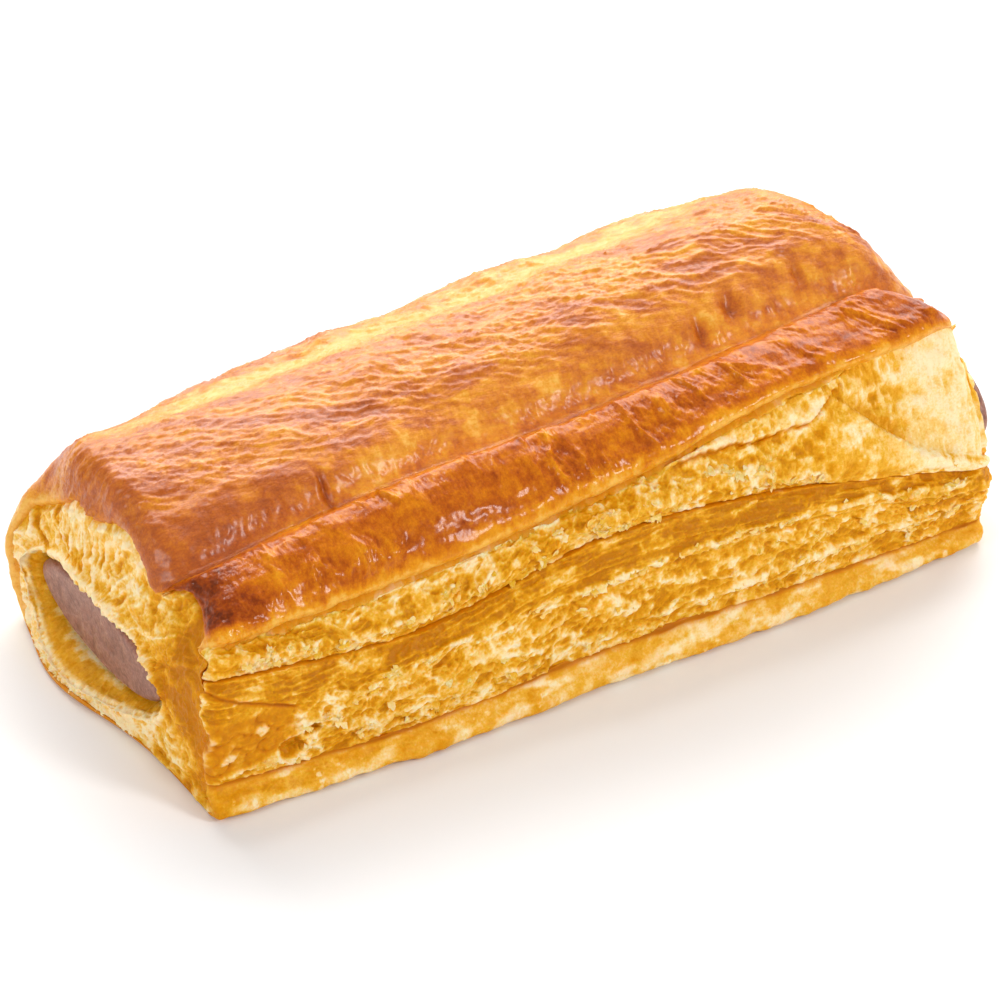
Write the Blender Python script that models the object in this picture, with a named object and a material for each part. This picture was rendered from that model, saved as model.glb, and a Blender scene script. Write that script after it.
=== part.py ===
"""A baked sausage roll of folded puff pastry, cut at both ends.

The pastry is one closed solid with a tunnel from end to end, and the sausage fills the tunnel. Its skin is
lofted along +X through a ring of feature lines: the front foot, two stacks of leaves with the seam between
them, the lip of the folded top sheet, the groove behind the lip, the crown and the back. Most of these lines
keep a fixed distance from one of seven driving lines. Sizes are in millimetres until the meshes are made,
which are in metres, +Z up, with the origin at the bottom centre of the whole roll's bounding box.
"""

import bmesh
import bpy
import numpy as np

MM = 0.001
COLLECTION = "sausage_roll"

# Where the two cut ends reach along X
LEFT_X = -80.5
RIGHT_X = 84.0

# Driving lines of the skin: values at the left end, the three quarter points and the right end
FOOT_Y = (-38.0, -39.0, -38.2, -37.6, -34.8)    # edge of the front foot
SEAM_Z = (24.6, 21.0, 27.2, 23.8, 15.0)         # seam between the stacks of leaves
LIP_Y = (-31.0, -31.0, -30.2, -29.2, -25.6)     # edge of the folded top sheet
LIP_Z = (30.4, 31.6, 35.0, 41.2, 41.8)
CREST_Z = (35.0, 40.2, 41.2, 43.6, 44.4)        # top of the lip
CROWN_Z = (40.6, 44.4, 46.6, 49.6, 50.8)        # top of the roll
BACK_Y = (34.6, 36.0, 36.4, 35.6, 32.8)         # widest line of the back

# Distances from the driving lines
FOOT_TUCK = 3.5                 # the flat base starts this far behind the foot's edge
FOOT_HEIGHT = 1.4
CREASE_TUCK = 2.1               # crease above the foot
CREASE_SHARE = 0.25             # its height, as a share of the seam's
BELLY_TUCK = 1.8                # belly of the lower stack
BELLY_SHARE = 0.5
LEDGE_Y = -35.0                 # ledge of torn leaves just under the seam
SEAM_Y = -33.0
UPPER_BELLY_Y = -33.5           # foot of the upper stack
LEDGE_DROP = 3.4
UNDERCUT = (1.3, -2.8)          # hollow under the lip, from the lip's edge
LIP_FACE = (4.5, 0.7)           # back from the edge, and share of the way up to the crest
CREST_BACK = 10.5
GROOVE = (15.2, -2.5)           # back from the lip's edge, and down from the crest
SLOPE = (19.4, 1.0)
SHOULDER = (26.6, -1.3)         # back from the lip's edge, and down from the crown
CROWN_Y = 8.0
TOP_BACK = (-14.5, -2.9)        # forward from the back line, and down from the crown
BACK_SHOULDER = (-4.7, -11.6)
BACK_SHARE = 0.41               # height of the back line, as a share of the crown's
BACK_LOW = (-1.7, 6.6)
BACK_TUCK = -6.8

# The sausage: centre and half sizes at the left end, the middle and the right end
SAUSAGE_Y = (5.5, 1.5, -4.0)
SAUSAGE_Z = (11.2, 14.0, 16.2)
SAUSAGE_HALF_WIDTH = (21.5, 21.0, 20.0)
SAUSAGE_HALF_HEIGHT = (6.2, 8.0, 9.0)
SAUSAGE_LEFT_X = -74.4          # its left cut face lies back inside the mouth
SAUSAGE_RIGHT_X = 84.8          # its right cut face stands out a little
SAUSAGE_ROUND = 1.6             # rounded edge of the cut faces
SAUSAGE_GAP = 0.4               # clearance to the tunnel wall

# The ends of the pastry
END_ROUND_FOOT = 0.8            # rounded edge between the skin and the cut ends, at the base
END_ROUND_TOP = 3.5             # and at the height below
END_ROUND_TOP_Z = 36.0
MOUTH_FLARE = 1.8               # the tunnel widens by this much at its mouths
FLARE_DEPTH = 5.0

# Facets
STEPS_PER_LINE = 3
BASE_STEPS = 8
SKIN_ROWS = 32
TUNNEL_ROWS = 12
END_RINGS = 4
SAUSAGE_SIDES = 44
SAUSAGE_ROWS = 14


def along(values, t):
    """Read a smooth curve through evenly spaced values at t, from 0 at the left end to 1 at the right."""
    points = np.asarray(values, dtype=float)
    spans = len(points) - 1
    before = 2 * points[0] - points[1]
    after = 2 * points[-1] - points[-2]
    points = np.concatenate([[before], points, [after]])
    span = min(int(t * spans), spans - 1)
    u = t * spans - span
    p0, p1, p2, p3 = points[span:span + 4]
    slope = p2 - p0
    curve = 2 * p0 - 5 * p1 + 4 * p2 - p3
    twist = 3 * p1 - p0 - 3 * p2 + p3
    return 0.5 * (2 * p1 + slope * u + curve * u ** 2 + twist * u ** 3)


def bump(value, centre, width):
    """A bell of height 1 at the centre, which falls to 1/e at one width from it."""
    return np.exp(-((value - centre) / width) ** 2)


def ramp(value, start, end):
    """Rise evenly from 0 at the start to 1 at the end, and stay flat outside them."""
    return np.clip((value - start) / (end - start), 0.0, 1.0)


def left_depth(y, z):
    """How far the left end lies inside its plane: the lower jaw stands out, the upper front is sunk."""
    jaw = 5.4 * bump(y, 10.0, 17.0) * bump(z, 0.0, 9.0)
    upper_lip = 1.6 * bump(y, 6.0, 14.0) * bump(z, 18.0, 6.0)
    back_corner = 1.8 * bump(y, 34.0, 7.0) * bump(z, 16.0, 9.0)
    lean = 3.2 * ramp(z, 12.0, 39.0)
    front_hollow = 4.4 * bump(y, -22.0, 9.0) * ramp(z, 22.0, 32.0)
    back_fall = 4.0 * bump(y, 30.0, 10.0) * ramp(z, 14.0, 28.0)
    return 5.4 - jaw - upper_lip - back_corner + lean + front_hollow + back_fall


def right_depth(y, z):
    """How far the right end lies inside its plane: a dome round the sausage, with two ends of crust."""
    sideways = 7.2 * np.abs((y + 5.0) / 30.0) ** 2.5
    lean = 13.0 * np.clip((z - 12.0) / 33.0, 0.0, None) ** 2.5
    foot = 1.4 * ramp(z, 12.0, 0.0)
    lip_notch = 5.5 * bump(y, -12.0, 6.0) * ramp(z, 36.0, 41.0)
    lip_tip = 2.0 * bump(y, -23.0, 6.0) * ramp(z, 34.0, 40.0)
    shoulder_tip = 1.2 * bump(y, 0.0, 6.0) * ramp(z, 38.0, 44.0)
    return 0.5 + sideways + lean + foot + lip_notch - lip_tip - shoulder_tip


def feature_lines(t):
    """The (y, z) points where the feature lines cross station t, from the front foot over to the back."""
    foot = along(FOOT_Y, t)
    seam = along(SEAM_Z, t)
    lip_y = along(LIP_Y, t)
    lip_z = along(LIP_Z, t)
    crest = along(CREST_Z, t)
    crown = along(CROWN_Z, t)
    back = along(BACK_Y, t)
    return np.array([
        (foot + FOOT_TUCK, 0.0),
        (foot, FOOT_HEIGHT),
        (foot + CREASE_TUCK, CREASE_SHARE * seam),
        (foot + BELLY_TUCK, BELLY_SHARE * seam),
        (LEDGE_Y, seam - LEDGE_DROP),
        (SEAM_Y, seam),
        (UPPER_BELLY_Y, seam + LEDGE_DROP),
        (lip_y + UNDERCUT[0], lip_z + UNDERCUT[1]),
        (lip_y, lip_z),
        (lip_y + LIP_FACE[0], lip_z + LIP_FACE[1] * (crest - lip_z)),
        (lip_y + CREST_BACK, crest),
        (lip_y + GROOVE[0], crest + GROOVE[1]),
        (lip_y + SLOPE[0], crest + SLOPE[1]),
        (lip_y + SHOULDER[0], crown + SHOULDER[1]),
        (CROWN_Y, crown),
        (back + TOP_BACK[0], crown + TOP_BACK[1]),
        (back + BACK_SHOULDER[0], crown + BACK_SHOULDER[1]),
        (back, BACK_SHARE * crown),
        (back + BACK_LOW[0], BACK_LOW[1]),
        (back + BACK_TUCK, 0.0),
    ])


def skin_loop(t):
    """The closed (y, z) outline at station t: a smooth curve through the feature lines, and a flat base."""
    lines = feature_lines(t)
    count = len(lines)
    loop = []
    for index in range(count - 1):
        before, start, end, after = (lines[(index + step) % count] for step in (-1, 0, 1, 2))
        chord = np.linalg.norm(end - start)
        start_slope = (end - before) * chord / (chord + np.linalg.norm(start - before))
        end_slope = (after - start) * chord / (chord + np.linalg.norm(after - end))
        for step in range(STEPS_PER_LINE):
            u = step / STEPS_PER_LINE
            loop.append((2 * u ** 3 - 3 * u ** 2 + 1) * start + (u ** 3 - 2 * u ** 2 + u) * start_slope
                        + (3 * u ** 2 - 2 * u ** 3) * end + (u ** 3 - u ** 2) * end_slope)
    for step in range(BASE_STEPS):
        loop.append(lines[-1] + (lines[0] - lines[-1]) * step / BASE_STEPS)
    loop = np.array(loop)
    loop[:, 1] = np.maximum(loop[:, 1], 0.0)
    return loop


def sausage_centre(t):
    """Centre (y, z) of the sausage at station t."""
    return np.array([along(SAUSAGE_Y, t), along(SAUSAGE_Z, t)])


def sausage_half_sizes(t):
    """Half width and half height of the sausage at station t."""
    return np.array([along(SAUSAGE_HALF_WIDTH, t), along(SAUSAGE_HALF_HEIGHT, t)])


def end_distance(t):
    """Distance from station t to the nearer end of the roll."""
    return min(t, 1.0 - t) * (RIGHT_X - LEFT_X)


def rounded_skin_loop(t):
    """The skin's outline, drawn in round a quarter circle where it turns over into a cut end."""
    loop = skin_loop(t)
    radius = END_ROUND_FOOT + (END_ROUND_TOP - END_ROUND_FOOT) * ramp(loop[:, 1], 0.0, END_ROUND_TOP_Z)
    rise = np.maximum(radius - end_distance(t), 0.0)
    inset = radius - np.sqrt(radius ** 2 - rise ** 2)
    arms = loop - sausage_centre(t)
    arms /= np.linalg.norm(arms, axis=1)[:, None]
    return loop - arms * inset[:, None]


def tunnel_loop(t):
    """The tunnel's (y, z) outline: the sausage's ellipse with its gap, flared towards the mouths.

    Each point faces the skin's point of the same index, so the rings on the cut ends don't cross.
    """
    skin = skin_loop(t)
    centre = sausage_centre(t)
    widest = np.ptp(skin, axis=0) / 2
    angles = np.arctan2((skin[:, 1] - centre[1]) / widest[1], (skin[:, 0] - centre[0]) / widest[0])
    flare = MOUTH_FLARE * max(1.0 - end_distance(t) / FLARE_DEPTH, 0.0) ** 2
    half = sausage_half_sizes(t) + SAUSAGE_GAP + flare
    return centre + half * np.stack([np.cos(angles), np.sin(angles)], axis=1)


def place_on_length(loop, t):
    """Give each (y, z) point its x, at share t of the way from the left end surface to the right one."""
    y, z = loop.T
    left = LEFT_X + left_depth(y, z)
    right = RIGHT_X - right_depth(y, z)
    return np.stack([left * (1.0 - t) + right * t, y, z], axis=1)


def stations(rows, end_steps):
    """Even stations along the roll, with extra ones at the given distances from each end."""
    length = RIGHT_X - LEFT_X
    near = np.array(end_steps) / length
    middle = np.linspace(near[-1], 1.0 - near[-1], rows)
    return np.concatenate([near[:-1], middle, 1.0 - near[-2::-1]])


def pastry_rows():
    """Rings of points that go out along the skin and back through the tunnel."""
    skin_stations = stations(SKIN_ROWS, (0.0, 0.1 * END_ROUND_TOP, 0.4 * END_ROUND_TOP, END_ROUND_TOP))
    tunnel_stations = stations(TUNNEL_ROWS, (0.0, 0.3 * FLARE_DEPTH, FLARE_DEPTH))
    skin = [place_on_length(rounded_skin_loop(t), t) for t in skin_stations]
    tunnel = [place_on_length(tunnel_loop(t), t) for t in tunnel_stations]
    ends = {}
    for t in (0.0, 1.0):
        outer = rounded_skin_loop(t)
        inner = tunnel_loop(t)
        shares = np.arange(1, END_RINGS) / END_RINGS
        ends[t] = [place_on_length(outer + (inner - outer) * share, t) for share in shares]
    return np.array(skin + ends[1.0] + tunnel[::-1] + ends[0.0][::-1])


def sausage_rows():
    """Rings of points along the sausage, drawn in round its cut edges and closed by small flat rings."""
    angles = np.linspace(0.0, 2 * np.pi, SAUSAGE_SIDES, endpoint=False)
    circle = np.stack([np.cos(angles), np.sin(angles)], axis=1)
    turn = np.linspace(0.0, np.pi / 2, 4)
    left_x = SAUSAGE_LEFT_X + SAUSAGE_ROUND * (1.0 - np.sin(turn))
    right_x = SAUSAGE_RIGHT_X - SAUSAGE_ROUND * (1.0 - np.sin(turn))
    inset = SAUSAGE_ROUND * (1.0 - np.cos(turn))
    middle_x = np.linspace(left_x[0], right_x[0], SAUSAGE_ROWS)
    rows = []
    left_mouth = LEFT_X + left_depth(*sausage_centre(0.0))
    right_mouth = RIGHT_X - right_depth(*sausage_centre(1.0))
    for x, drawn_in in [*zip(left_x[:0:-1], inset[:0:-1]), *((x, 0.0) for x in middle_x),
                        *zip(right_x[1:], inset[1:])]:
        t = min(max((x - left_mouth) / (right_mouth - left_mouth), 0.0), 1.0)
        loop = sausage_centre(t) + (sausage_half_sizes(t) - drawn_in) * circle
        rows.append(np.column_stack([np.full(SAUSAGE_SIDES, x), loop]))
    return np.array(rows)


def loft(name, rows, origin, closed):
    """Make a mesh object of quads between rings of points: one closed round tube, or a capped bar."""
    row_count, around = rows.shape[:2]
    vertices = (rows.reshape(-1, 3) - origin) * MM
    faces = []
    for row in range(row_count if closed else row_count - 1):
        here = row * around
        there = (row + 1) % row_count * around
        for side in range(around):
            after = (side + 1) % around
            faces.append((here + side, here + after, there + after, there + side))
    if not closed:
        faces.append(tuple(range(around)))
        faces.append(tuple(range((row_count - 1) * around, row_count * around)))
    mesh = bpy.data.meshes.new(name)
    mesh.from_pydata(vertices.tolist(), [], faces)
    shell = bmesh.new()
    shell.from_mesh(mesh)
    bmesh.ops.recalc_face_normals(shell, faces=shell.faces)
    shell.to_mesh(mesh)
    shell.free()
    mesh.shade_smooth()
    mesh.set_sharp_from_angle(angle=np.radians(50))
    return bpy.data.objects.new(name, mesh)


def material(name, colour, roughness):
    """A plain Principled material."""
    finish = bpy.data.materials.new(name)
    finish.use_nodes = True
    shader = finish.node_tree.nodes["Principled BSDF"]
    shader.inputs["Base Color"].default_value = (*colour, 1.0)
    shader.inputs["Roughness"].default_value = roughness
    shader.inputs["Metallic"].default_value = 0.0
    return finish


def main():
    for old in list(bpy.data.objects):
        bpy.data.objects.remove(old, do_unlink=True)
    roll = bpy.data.collections.new(COLLECTION)
    bpy.context.scene.collection.children.link(roll)

    pastry_points = pastry_rows()
    sausage_points = sausage_rows()
    every_point = np.concatenate([pastry_points.reshape(-1, 3), sausage_points.reshape(-1, 3)])
    low = every_point.min(axis=0)
    high = every_point.max(axis=0)
    origin = np.array([(low[0] + high[0]) / 2, (low[1] + high[1]) / 2, low[2]])

    pastry = loft("pastry", pastry_points, origin, closed=True)
    pastry.data.materials.append(material("baked_puff_pastry", (0.62, 0.30, 0.08), 0.45))
    sausage = loft("sausage", sausage_points, origin, closed=False)
    sausage.data.materials.append(material("sausage_meat", (0.33, 0.15, 0.10), 0.5))
    for piece in (pastry, sausage):
        roll.objects.link(piece)


main()
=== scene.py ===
"""Looks of a baked sausage roll: wrinkled egg-washed crust, open flaky leaves, two cut ends and the sausage.

Every piece is a numpy grid laid on one smooth skin, which is lofted through the roll's feature lines. Relief
functions in millimetres then carve it. They also give each point its tones, such as how toasted and how
buttery it is, which the materials read as attributes.
"""

import bpy
import numpy as np
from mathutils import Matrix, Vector


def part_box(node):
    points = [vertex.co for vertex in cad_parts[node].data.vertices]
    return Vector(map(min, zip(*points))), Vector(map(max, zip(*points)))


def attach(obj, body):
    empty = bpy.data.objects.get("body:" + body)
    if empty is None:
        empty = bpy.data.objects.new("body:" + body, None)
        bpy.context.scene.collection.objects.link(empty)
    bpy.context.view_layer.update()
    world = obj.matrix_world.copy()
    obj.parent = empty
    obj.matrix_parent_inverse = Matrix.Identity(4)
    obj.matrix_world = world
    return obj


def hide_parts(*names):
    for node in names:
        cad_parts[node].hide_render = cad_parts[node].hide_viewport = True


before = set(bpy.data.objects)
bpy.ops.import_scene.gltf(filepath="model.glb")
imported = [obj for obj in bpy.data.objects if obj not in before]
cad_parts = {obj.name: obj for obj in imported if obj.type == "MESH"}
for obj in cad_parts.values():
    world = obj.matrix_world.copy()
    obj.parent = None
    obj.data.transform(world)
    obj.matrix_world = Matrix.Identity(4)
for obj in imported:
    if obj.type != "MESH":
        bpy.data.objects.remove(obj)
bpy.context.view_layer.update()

MM = 0.001

# ---------------------------------------------------------------- the smooth skin, in millimetres

LEFT_X = -80.5
RIGHT_X = 84.0
LENGTH = RIGHT_X - LEFT_X

# Driving lines: values at the left end, the three quarter points and the right end
FOOT_Y = (-38.0, -39.0, -38.2, -37.6, -34.8)
SEAM_Z = (24.6, 21.0, 27.2, 23.8, 15.0)
LIP_Y = (-31.0, -31.0, -30.2, -29.2, -25.6)
LIP_Z = (30.4, 31.6, 35.0, 41.2, 41.8)
CREST_Z = (35.0, 40.2, 41.2, 43.6, 44.4)
CROWN_Z = (40.6, 44.4, 46.6, 49.6, 50.8)
BACK_Y = (34.6, 36.0, 36.4, 35.6, 32.8)

# The sausage's centre and half sizes at the left end, the middle and the right end
SAUSAGE_Y = (5.5, 1.5, -4.0)
SAUSAGE_Z = (11.2, 14.0, 16.2)
SAUSAGE_HALF_WIDTH = (21.5, 21.0, 20.0)
SAUSAGE_HALF_HEIGHT = (6.2, 8.0, 9.0)
SAUSAGE_LEFT_X = -74.4
SAUSAGE_RIGHT_X = 84.8
SAUSAGE_ROUND = 1.6
SAUSAGE_GAP = 0.4
MOUTH_FLARE = 1.8
FLARE_DEPTH = 5.0

# Rounding of the edge between the skin and the cut ends, at the base and at the top
END_ROUND_FOOT = 0.8
END_ROUND_TOP = 3.5
END_ROUND_TOP_Z = 36.0

# Places round the skin, counted in feature lines from the front of the flat base
FOOT_EDGE = 1.0
CREASE = 2.0
SEAM = 5.0
UNDER_LIP = 7.0
LIP_EDGE = 8.0
LIP_CREST = 10.0
GROOVE = 11.0
CROWN = 14.0
BACK = 17.0
BASE_BACK = 19.0
ROUND = 20.0


def along(values, t):
    """Smooth curve through evenly spaced values: a Catmull-Rom spline read at t, from 0 to 1."""
    points = np.asarray(values, dtype=float)
    spans = len(points) - 1
    points = np.concatenate([[2 * points[0] - points[1]], points, [2 * points[-1] - points[-2]]])
    t = np.clip(t, 0.0, 1.0)
    span = np.minimum((t * spans).astype(int), spans - 1)
    u = t * spans - span
    p0, p1, p2, p3 = (points[span + step] for step in range(4))
    return 0.5 * (2 * p1 + (p2 - p0) * u + (2 * p0 - 5 * p1 + 4 * p2 - p3) * u ** 2
                  + (3 * p1 - p0 - 3 * p2 + p3) * u ** 3)


def bump(value, centre, width):
    """A bell of height 1 at the centre: exp(-((value - centre) / width) squared)."""
    return np.exp(-((value - centre) / width) ** 2)


def ramp(value, start, end):
    """Rise evenly from 0 at the start to 1 at the end, held flat outside."""
    return np.clip((value - start) / (end - start), 0.0, 1.0)


def smooth_ramp(value, start, end):
    """The same rise with soft ends: 3u squared minus 2u cubed."""
    u = ramp(value, start, end)
    return u * u * (3.0 - 2.0 * u)


def left_depth(y, z):
    """How far the left end lies inside its plane: a sum of bells for the jaw, the lip and the hollows."""
    jaw = 5.4 * bump(y, 10.0, 17.0) * bump(z, 0.0, 9.0)
    upper_lip = 1.6 * bump(y, 6.0, 14.0) * bump(z, 18.0, 6.0)
    back_corner = 1.8 * bump(y, 34.0, 7.0) * bump(z, 16.0, 9.0)
    lean = 3.2 * ramp(z, 12.0, 39.0)
    front_hollow = 4.4 * bump(y, -22.0, 9.0) * ramp(z, 22.0, 32.0)
    back_fall = 4.0 * bump(y, 30.0, 10.0) * ramp(z, 14.0, 28.0)
    return 5.4 - jaw - upper_lip - back_corner + lean + front_hollow + back_fall


def right_depth(y, z):
    """How far the right end lies inside its plane: powers of the distance from the sausage, and bells."""
    sideways = 7.2 * np.abs((y + 5.0) / 30.0) ** 2.5
    lean = 13.0 * np.clip((z - 12.0) / 33.0, 0.0, None) ** 2.5
    foot = 1.4 * ramp(z, 12.0, 0.0)
    lip_notch = 5.5 * bump(y, -12.0, 6.0) * ramp(z, 36.0, 41.0)
    lip_tip = 2.0 * bump(y, -23.0, 6.0) * ramp(z, 34.0, 40.0)
    shoulder_tip = 1.2 * bump(y, 0.0, 6.0) * ramp(z, 38.0, 44.0)
    return 0.5 + sideways + lean + foot + lip_notch - lip_tip - shoulder_tip


def feature_lines(t):
    """The (y, z) of the twenty feature lines at each station of t, stacked on the last two axes."""
    foot = along(FOOT_Y, t)
    seam = along(SEAM_Z, t)
    lip_y = along(LIP_Y, t)
    lip_z = along(LIP_Z, t)
    crest = along(CREST_Z, t)
    crown = along(CROWN_Z, t)
    back = along(BACK_Y, t)
    flat = np.zeros_like(t)
    pairs = (
        (foot + 3.5, flat),
        (foot, flat + 1.4),
        (foot + 2.1, 0.25 * seam),
        (foot + 1.8, 0.5 * seam),
        (flat - 35.0, seam - 3.4),
        (flat - 33.0, seam),
        (flat - 33.5, seam + 3.4),
        (lip_y + 1.3, lip_z - 2.8),
        (lip_y, lip_z),
        (lip_y + 4.5, lip_z + 0.7 * (crest - lip_z)),
        (lip_y + 10.5, crest),
        (lip_y + 15.2, crest - 2.5),
        (lip_y + 19.4, crest + 1.0),
        (lip_y + 26.6, crown - 1.3),
        (flat + 8.0, crown),
        (back - 14.5, crown - 2.9),
        (back - 4.7, crown - 11.6),
        (back, 0.41 * crown),
        (back - 1.7, flat + 6.6),
        (back - 6.8, flat),
    )
    return np.stack([np.stack(pair, axis=-1) for pair in pairs], axis=-2)


def section(q, t):
    """(y, z) of the skin at place q round it and station t: cubic Hermite spans between feature lines.

    Each tangent is the chord between the two neighbours, shared out by the lengths of the spans.
    """
    lines = feature_lines(t)
    count = lines.shape[-2]
    index = np.floor(q).astype(int)
    u = (q - index)[..., None]

    def line(step):
        pick = np.broadcast_to(((index + step) % count)[..., None, None], t.shape + (1, 2))
        return np.take_along_axis(lines, pick, axis=-2)[..., 0, :]

    before, start, end, after = line(-1), line(0), line(1), line(2)
    chord = np.linalg.norm(end - start, axis=-1, keepdims=True)
    start_share = chord / (chord + np.linalg.norm(start - before, axis=-1, keepdims=True))
    end_share = chord / (chord + np.linalg.norm(after - end, axis=-1, keepdims=True))
    flat_base = np.broadcast_to((index % count == count - 1)[..., None], u.shape)
    start_slope = np.where(flat_base, end - start, (end - before) * start_share)
    end_slope = np.where(flat_base, end - start, (after - start) * end_share)
    yz = ((2 * u ** 3 - 3 * u ** 2 + 1) * start + (u ** 3 - 2 * u ** 2 + u) * start_slope
          + (3 * u ** 2 - 2 * u ** 3) * end + (u ** 3 - u ** 2) * end_slope)
    yz[..., 1] = np.maximum(yz[..., 1], 0.0)
    return yz


def sausage_centre(t):
    """Centre (y, z) of the sausage at station t."""
    return np.stack([along(SAUSAGE_Y, t), along(SAUSAGE_Z, t)], axis=-1)


def sausage_half_sizes(t):
    """Half width and half height of the sausage at station t."""
    return np.stack([along(SAUSAGE_HALF_WIDTH, t), along(SAUSAGE_HALF_HEIGHT, t)], axis=-1)


def at_station(yz, t):
    """Points (x, y, z): x runs in proportion t from the left end's surface to the right end's."""
    y, z = yz[..., 0], yz[..., 1]
    left = LEFT_X + left_depth(y, z)
    right = RIGHT_X - right_depth(y, z)
    return np.stack([left * (1.0 - t) + right * t, y, z], axis=-1)


def edge_radius(q, t):
    """Radius of the rounded edge at the end t (0 or 1), growing with height above the base."""
    z = section(q, np.full(q.shape, t))[..., 1]
    return END_ROUND_FOOT + (END_ROUND_TOP - END_ROUND_FOOT) * ramp(z, 0.0, END_ROUND_TOP_Z)


def skin(q, run, left_wrap=0.0, right_wrap=0.0):
    """The smooth skin as a grid: q round the section (columns), run from 0 to 1 along the roll (rows).

    A row's path starts left_wrap millimetres in from the edge of the left end, goes round the rounded edge
    (a quarter circle), straight along the roll, round the other edge and in by right_wrap.
    """
    left_radius = edge_radius(q, 0.0)
    right_radius = edge_radius(q, 1.0)
    quarter = np.pi / 2
    body = quarter * left_radius + (LENGTH - left_radius - right_radius) + quarter * right_radius
    path = run[:, None] * (left_wrap + body + right_wrap) - left_wrap
    back_path = body - path
    left_turn = np.clip(path / left_radius, 0.0, quarter)
    right_turn = np.clip(back_path / right_radius, 0.0, quarter)
    from_left = left_radius * (1.0 - np.cos(left_turn)) + np.maximum(path - quarter * left_radius, 0.0)
    from_left = np.minimum(from_left, LENGTH - right_radius * (1.0 - np.cos(right_turn)))
    inset = (left_radius * (1.0 - np.sin(left_turn)) + np.maximum(-path, 0.0)
             + right_radius * (1.0 - np.sin(right_turn)) + np.maximum(-back_path, 0.0))
    t = np.clip(from_left / LENGTH, 0.0, 1.0)
    yz = section(np.broadcast_to(q, t.shape), t)
    arms = yz - sausage_centre(t)
    yz = yz - arms / np.linalg.norm(arms, axis=-1, keepdims=True) * inset[..., None]
    return at_station(yz, t)


def even_places(start, end, step):
    """Places q from start to end about one step apart in millimetres, measured halfway along the roll."""
    q = np.linspace(start, end, 2000)
    yz = section(q, np.full(q.shape, 0.5))
    reach = np.concatenate([[0.0], np.cumsum(np.linalg.norm(np.diff(yz, axis=0), axis=1))])
    return np.interp(np.linspace(0.0, reach[-1], int(reach[-1] / step) + 2), reach, q)


def grid_normals(points):
    """Outward unit normals of a grid: the cross product of its row and column differences."""
    normals = np.cross(np.gradient(points, axis=0), np.gradient(points, axis=1))
    return normals / np.maximum(np.linalg.norm(normals, axis=-1, keepdims=True), 1e-9)


def reach_across(points):
    """Distance in millimetres of each grid point from its row's first point, along the row's columns."""
    steps = np.linalg.norm(np.diff(points, axis=1), axis=-1)
    return np.concatenate([np.zeros((len(points), 1)), np.cumsum(steps, axis=1)], axis=1)


# ---------------------------------------------------------------- noise, worked out as whole arrays

SEED = 7293
TABLE = 256
draw = np.random.default_rng(SEED)
SHUFFLE = np.concatenate([draw.permutation(TABLE)] * 2)
ARROWS = draw.normal(size=(TABLE, 3))
ARROWS /= np.linalg.norm(ARROWS, axis=1, keepdims=True)
DICE = draw.random((TABLE, 5))


def hashed(i, j, k):
    """A number from 0 to 255 for each lattice cell: three look-ups in one shuffled table."""
    return SHUFFLE[SHUFFLE[SHUFFLE[i % TABLE] + j % TABLE] + k % TABLE]


def noise(points, size, seed=0):
    """Gradient noise from about -1 to 1: arrows on a lattice of the given cell size, faded together."""
    scaled = points / np.asarray(size, dtype=float) + seed * 17.31
    cell = np.floor(scaled).astype(int)
    part = scaled - cell
    fade = part ** 3 * (part * (part * 6.0 - 15.0) + 10.0)
    total = np.zeros(points.shape[:-1])
    for corner in np.ndindex(2, 2, 2):
        arrows = ARROWS[hashed(*(cell[..., axis] + corner[axis] for axis in range(3)))]
        height = sum(arrows[..., axis] * (part[..., axis] - corner[axis]) for axis in range(3))
        weight = 1.0
        for axis in range(3):
            weight = weight * (fade[..., axis] if corner[axis] else 1.0 - fade[..., axis])
        total += height * weight
    return total * 1.6


def octave_sum(layer, size, octaves, gain):
    """Layers of halving size, each gain times the height of the one before, divided by their total gain."""
    size = np.asarray(size, dtype=float)
    total = sum(gain ** n * layer(size / 2 ** n, n) for n in range(octaves))
    return total / sum(gain ** n for n in range(octaves))


def fractal(points, size, octaves=3, gain=0.5, seed=0):
    """Noise summed over octaves: rough swells from about -1 to 1."""
    return octave_sum(lambda part, n: noise(points, part, seed + 3 * n), size, octaves, gain)


def ridges(points, size, octaves=2, gain=0.5, seed=0):
    """Sharp crests from 0 to 1: one minus the size of the noise, squared, summed over octaves."""

    def crest(part, n):
        return np.clip(1.0 - 2.2 * np.abs(noise(points, part, seed + 5 * n)), 0.0, 1.0) ** 2

    return octave_sum(crest, size, octaves, gain)


def plane(a, b, c=0.0):
    """Points with the coordinates (a, b, c), so that noise can be read along stretched or bent axes."""
    return np.stack(np.broadcast_arrays(a, b, c), axis=-1)


def cells(a, b, size, seed=0):
    """Scattered seeds on the (a, b) plane, one in each lattice cell of the given sizes.

    Gives the distance to the nearest seed, the gap to the second nearest, both in cell sizes, the nearest
    seed's die from 0 to 1, and how far the point lies along a slope drawn at random for that seed.
    """
    a = a / size[0] + seed * 11.7
    b = b / size[1] + seed * 5.3
    i = np.floor(a).astype(int)
    j = np.floor(b).astype(int)
    nearest = np.full(a.shape, 9.0)
    second = np.full(a.shape, 9.0)
    die = np.zeros(a.shape)
    slope = np.zeros(a.shape)
    for di, dj in np.ndindex(3, 3):
        random = DICE[hashed(i + di - 1, j + dj - 1, seed)]
        da = a - (i + di - 1) - random[..., 0]
        db = b - (j + dj - 1) - random[..., 1]
        gap = np.hypot(da, db)
        closer = gap < nearest
        second = np.where(closer, nearest, np.minimum(second, gap))
        die = np.where(closer, random[..., 2], die)
        slope = np.where(closer, da * (random[..., 3] - 0.5) + db * (random[..., 4] - 0.5), slope)
        nearest = np.where(closer, gap, nearest)
    return nearest, second - nearest, die, slope


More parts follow.
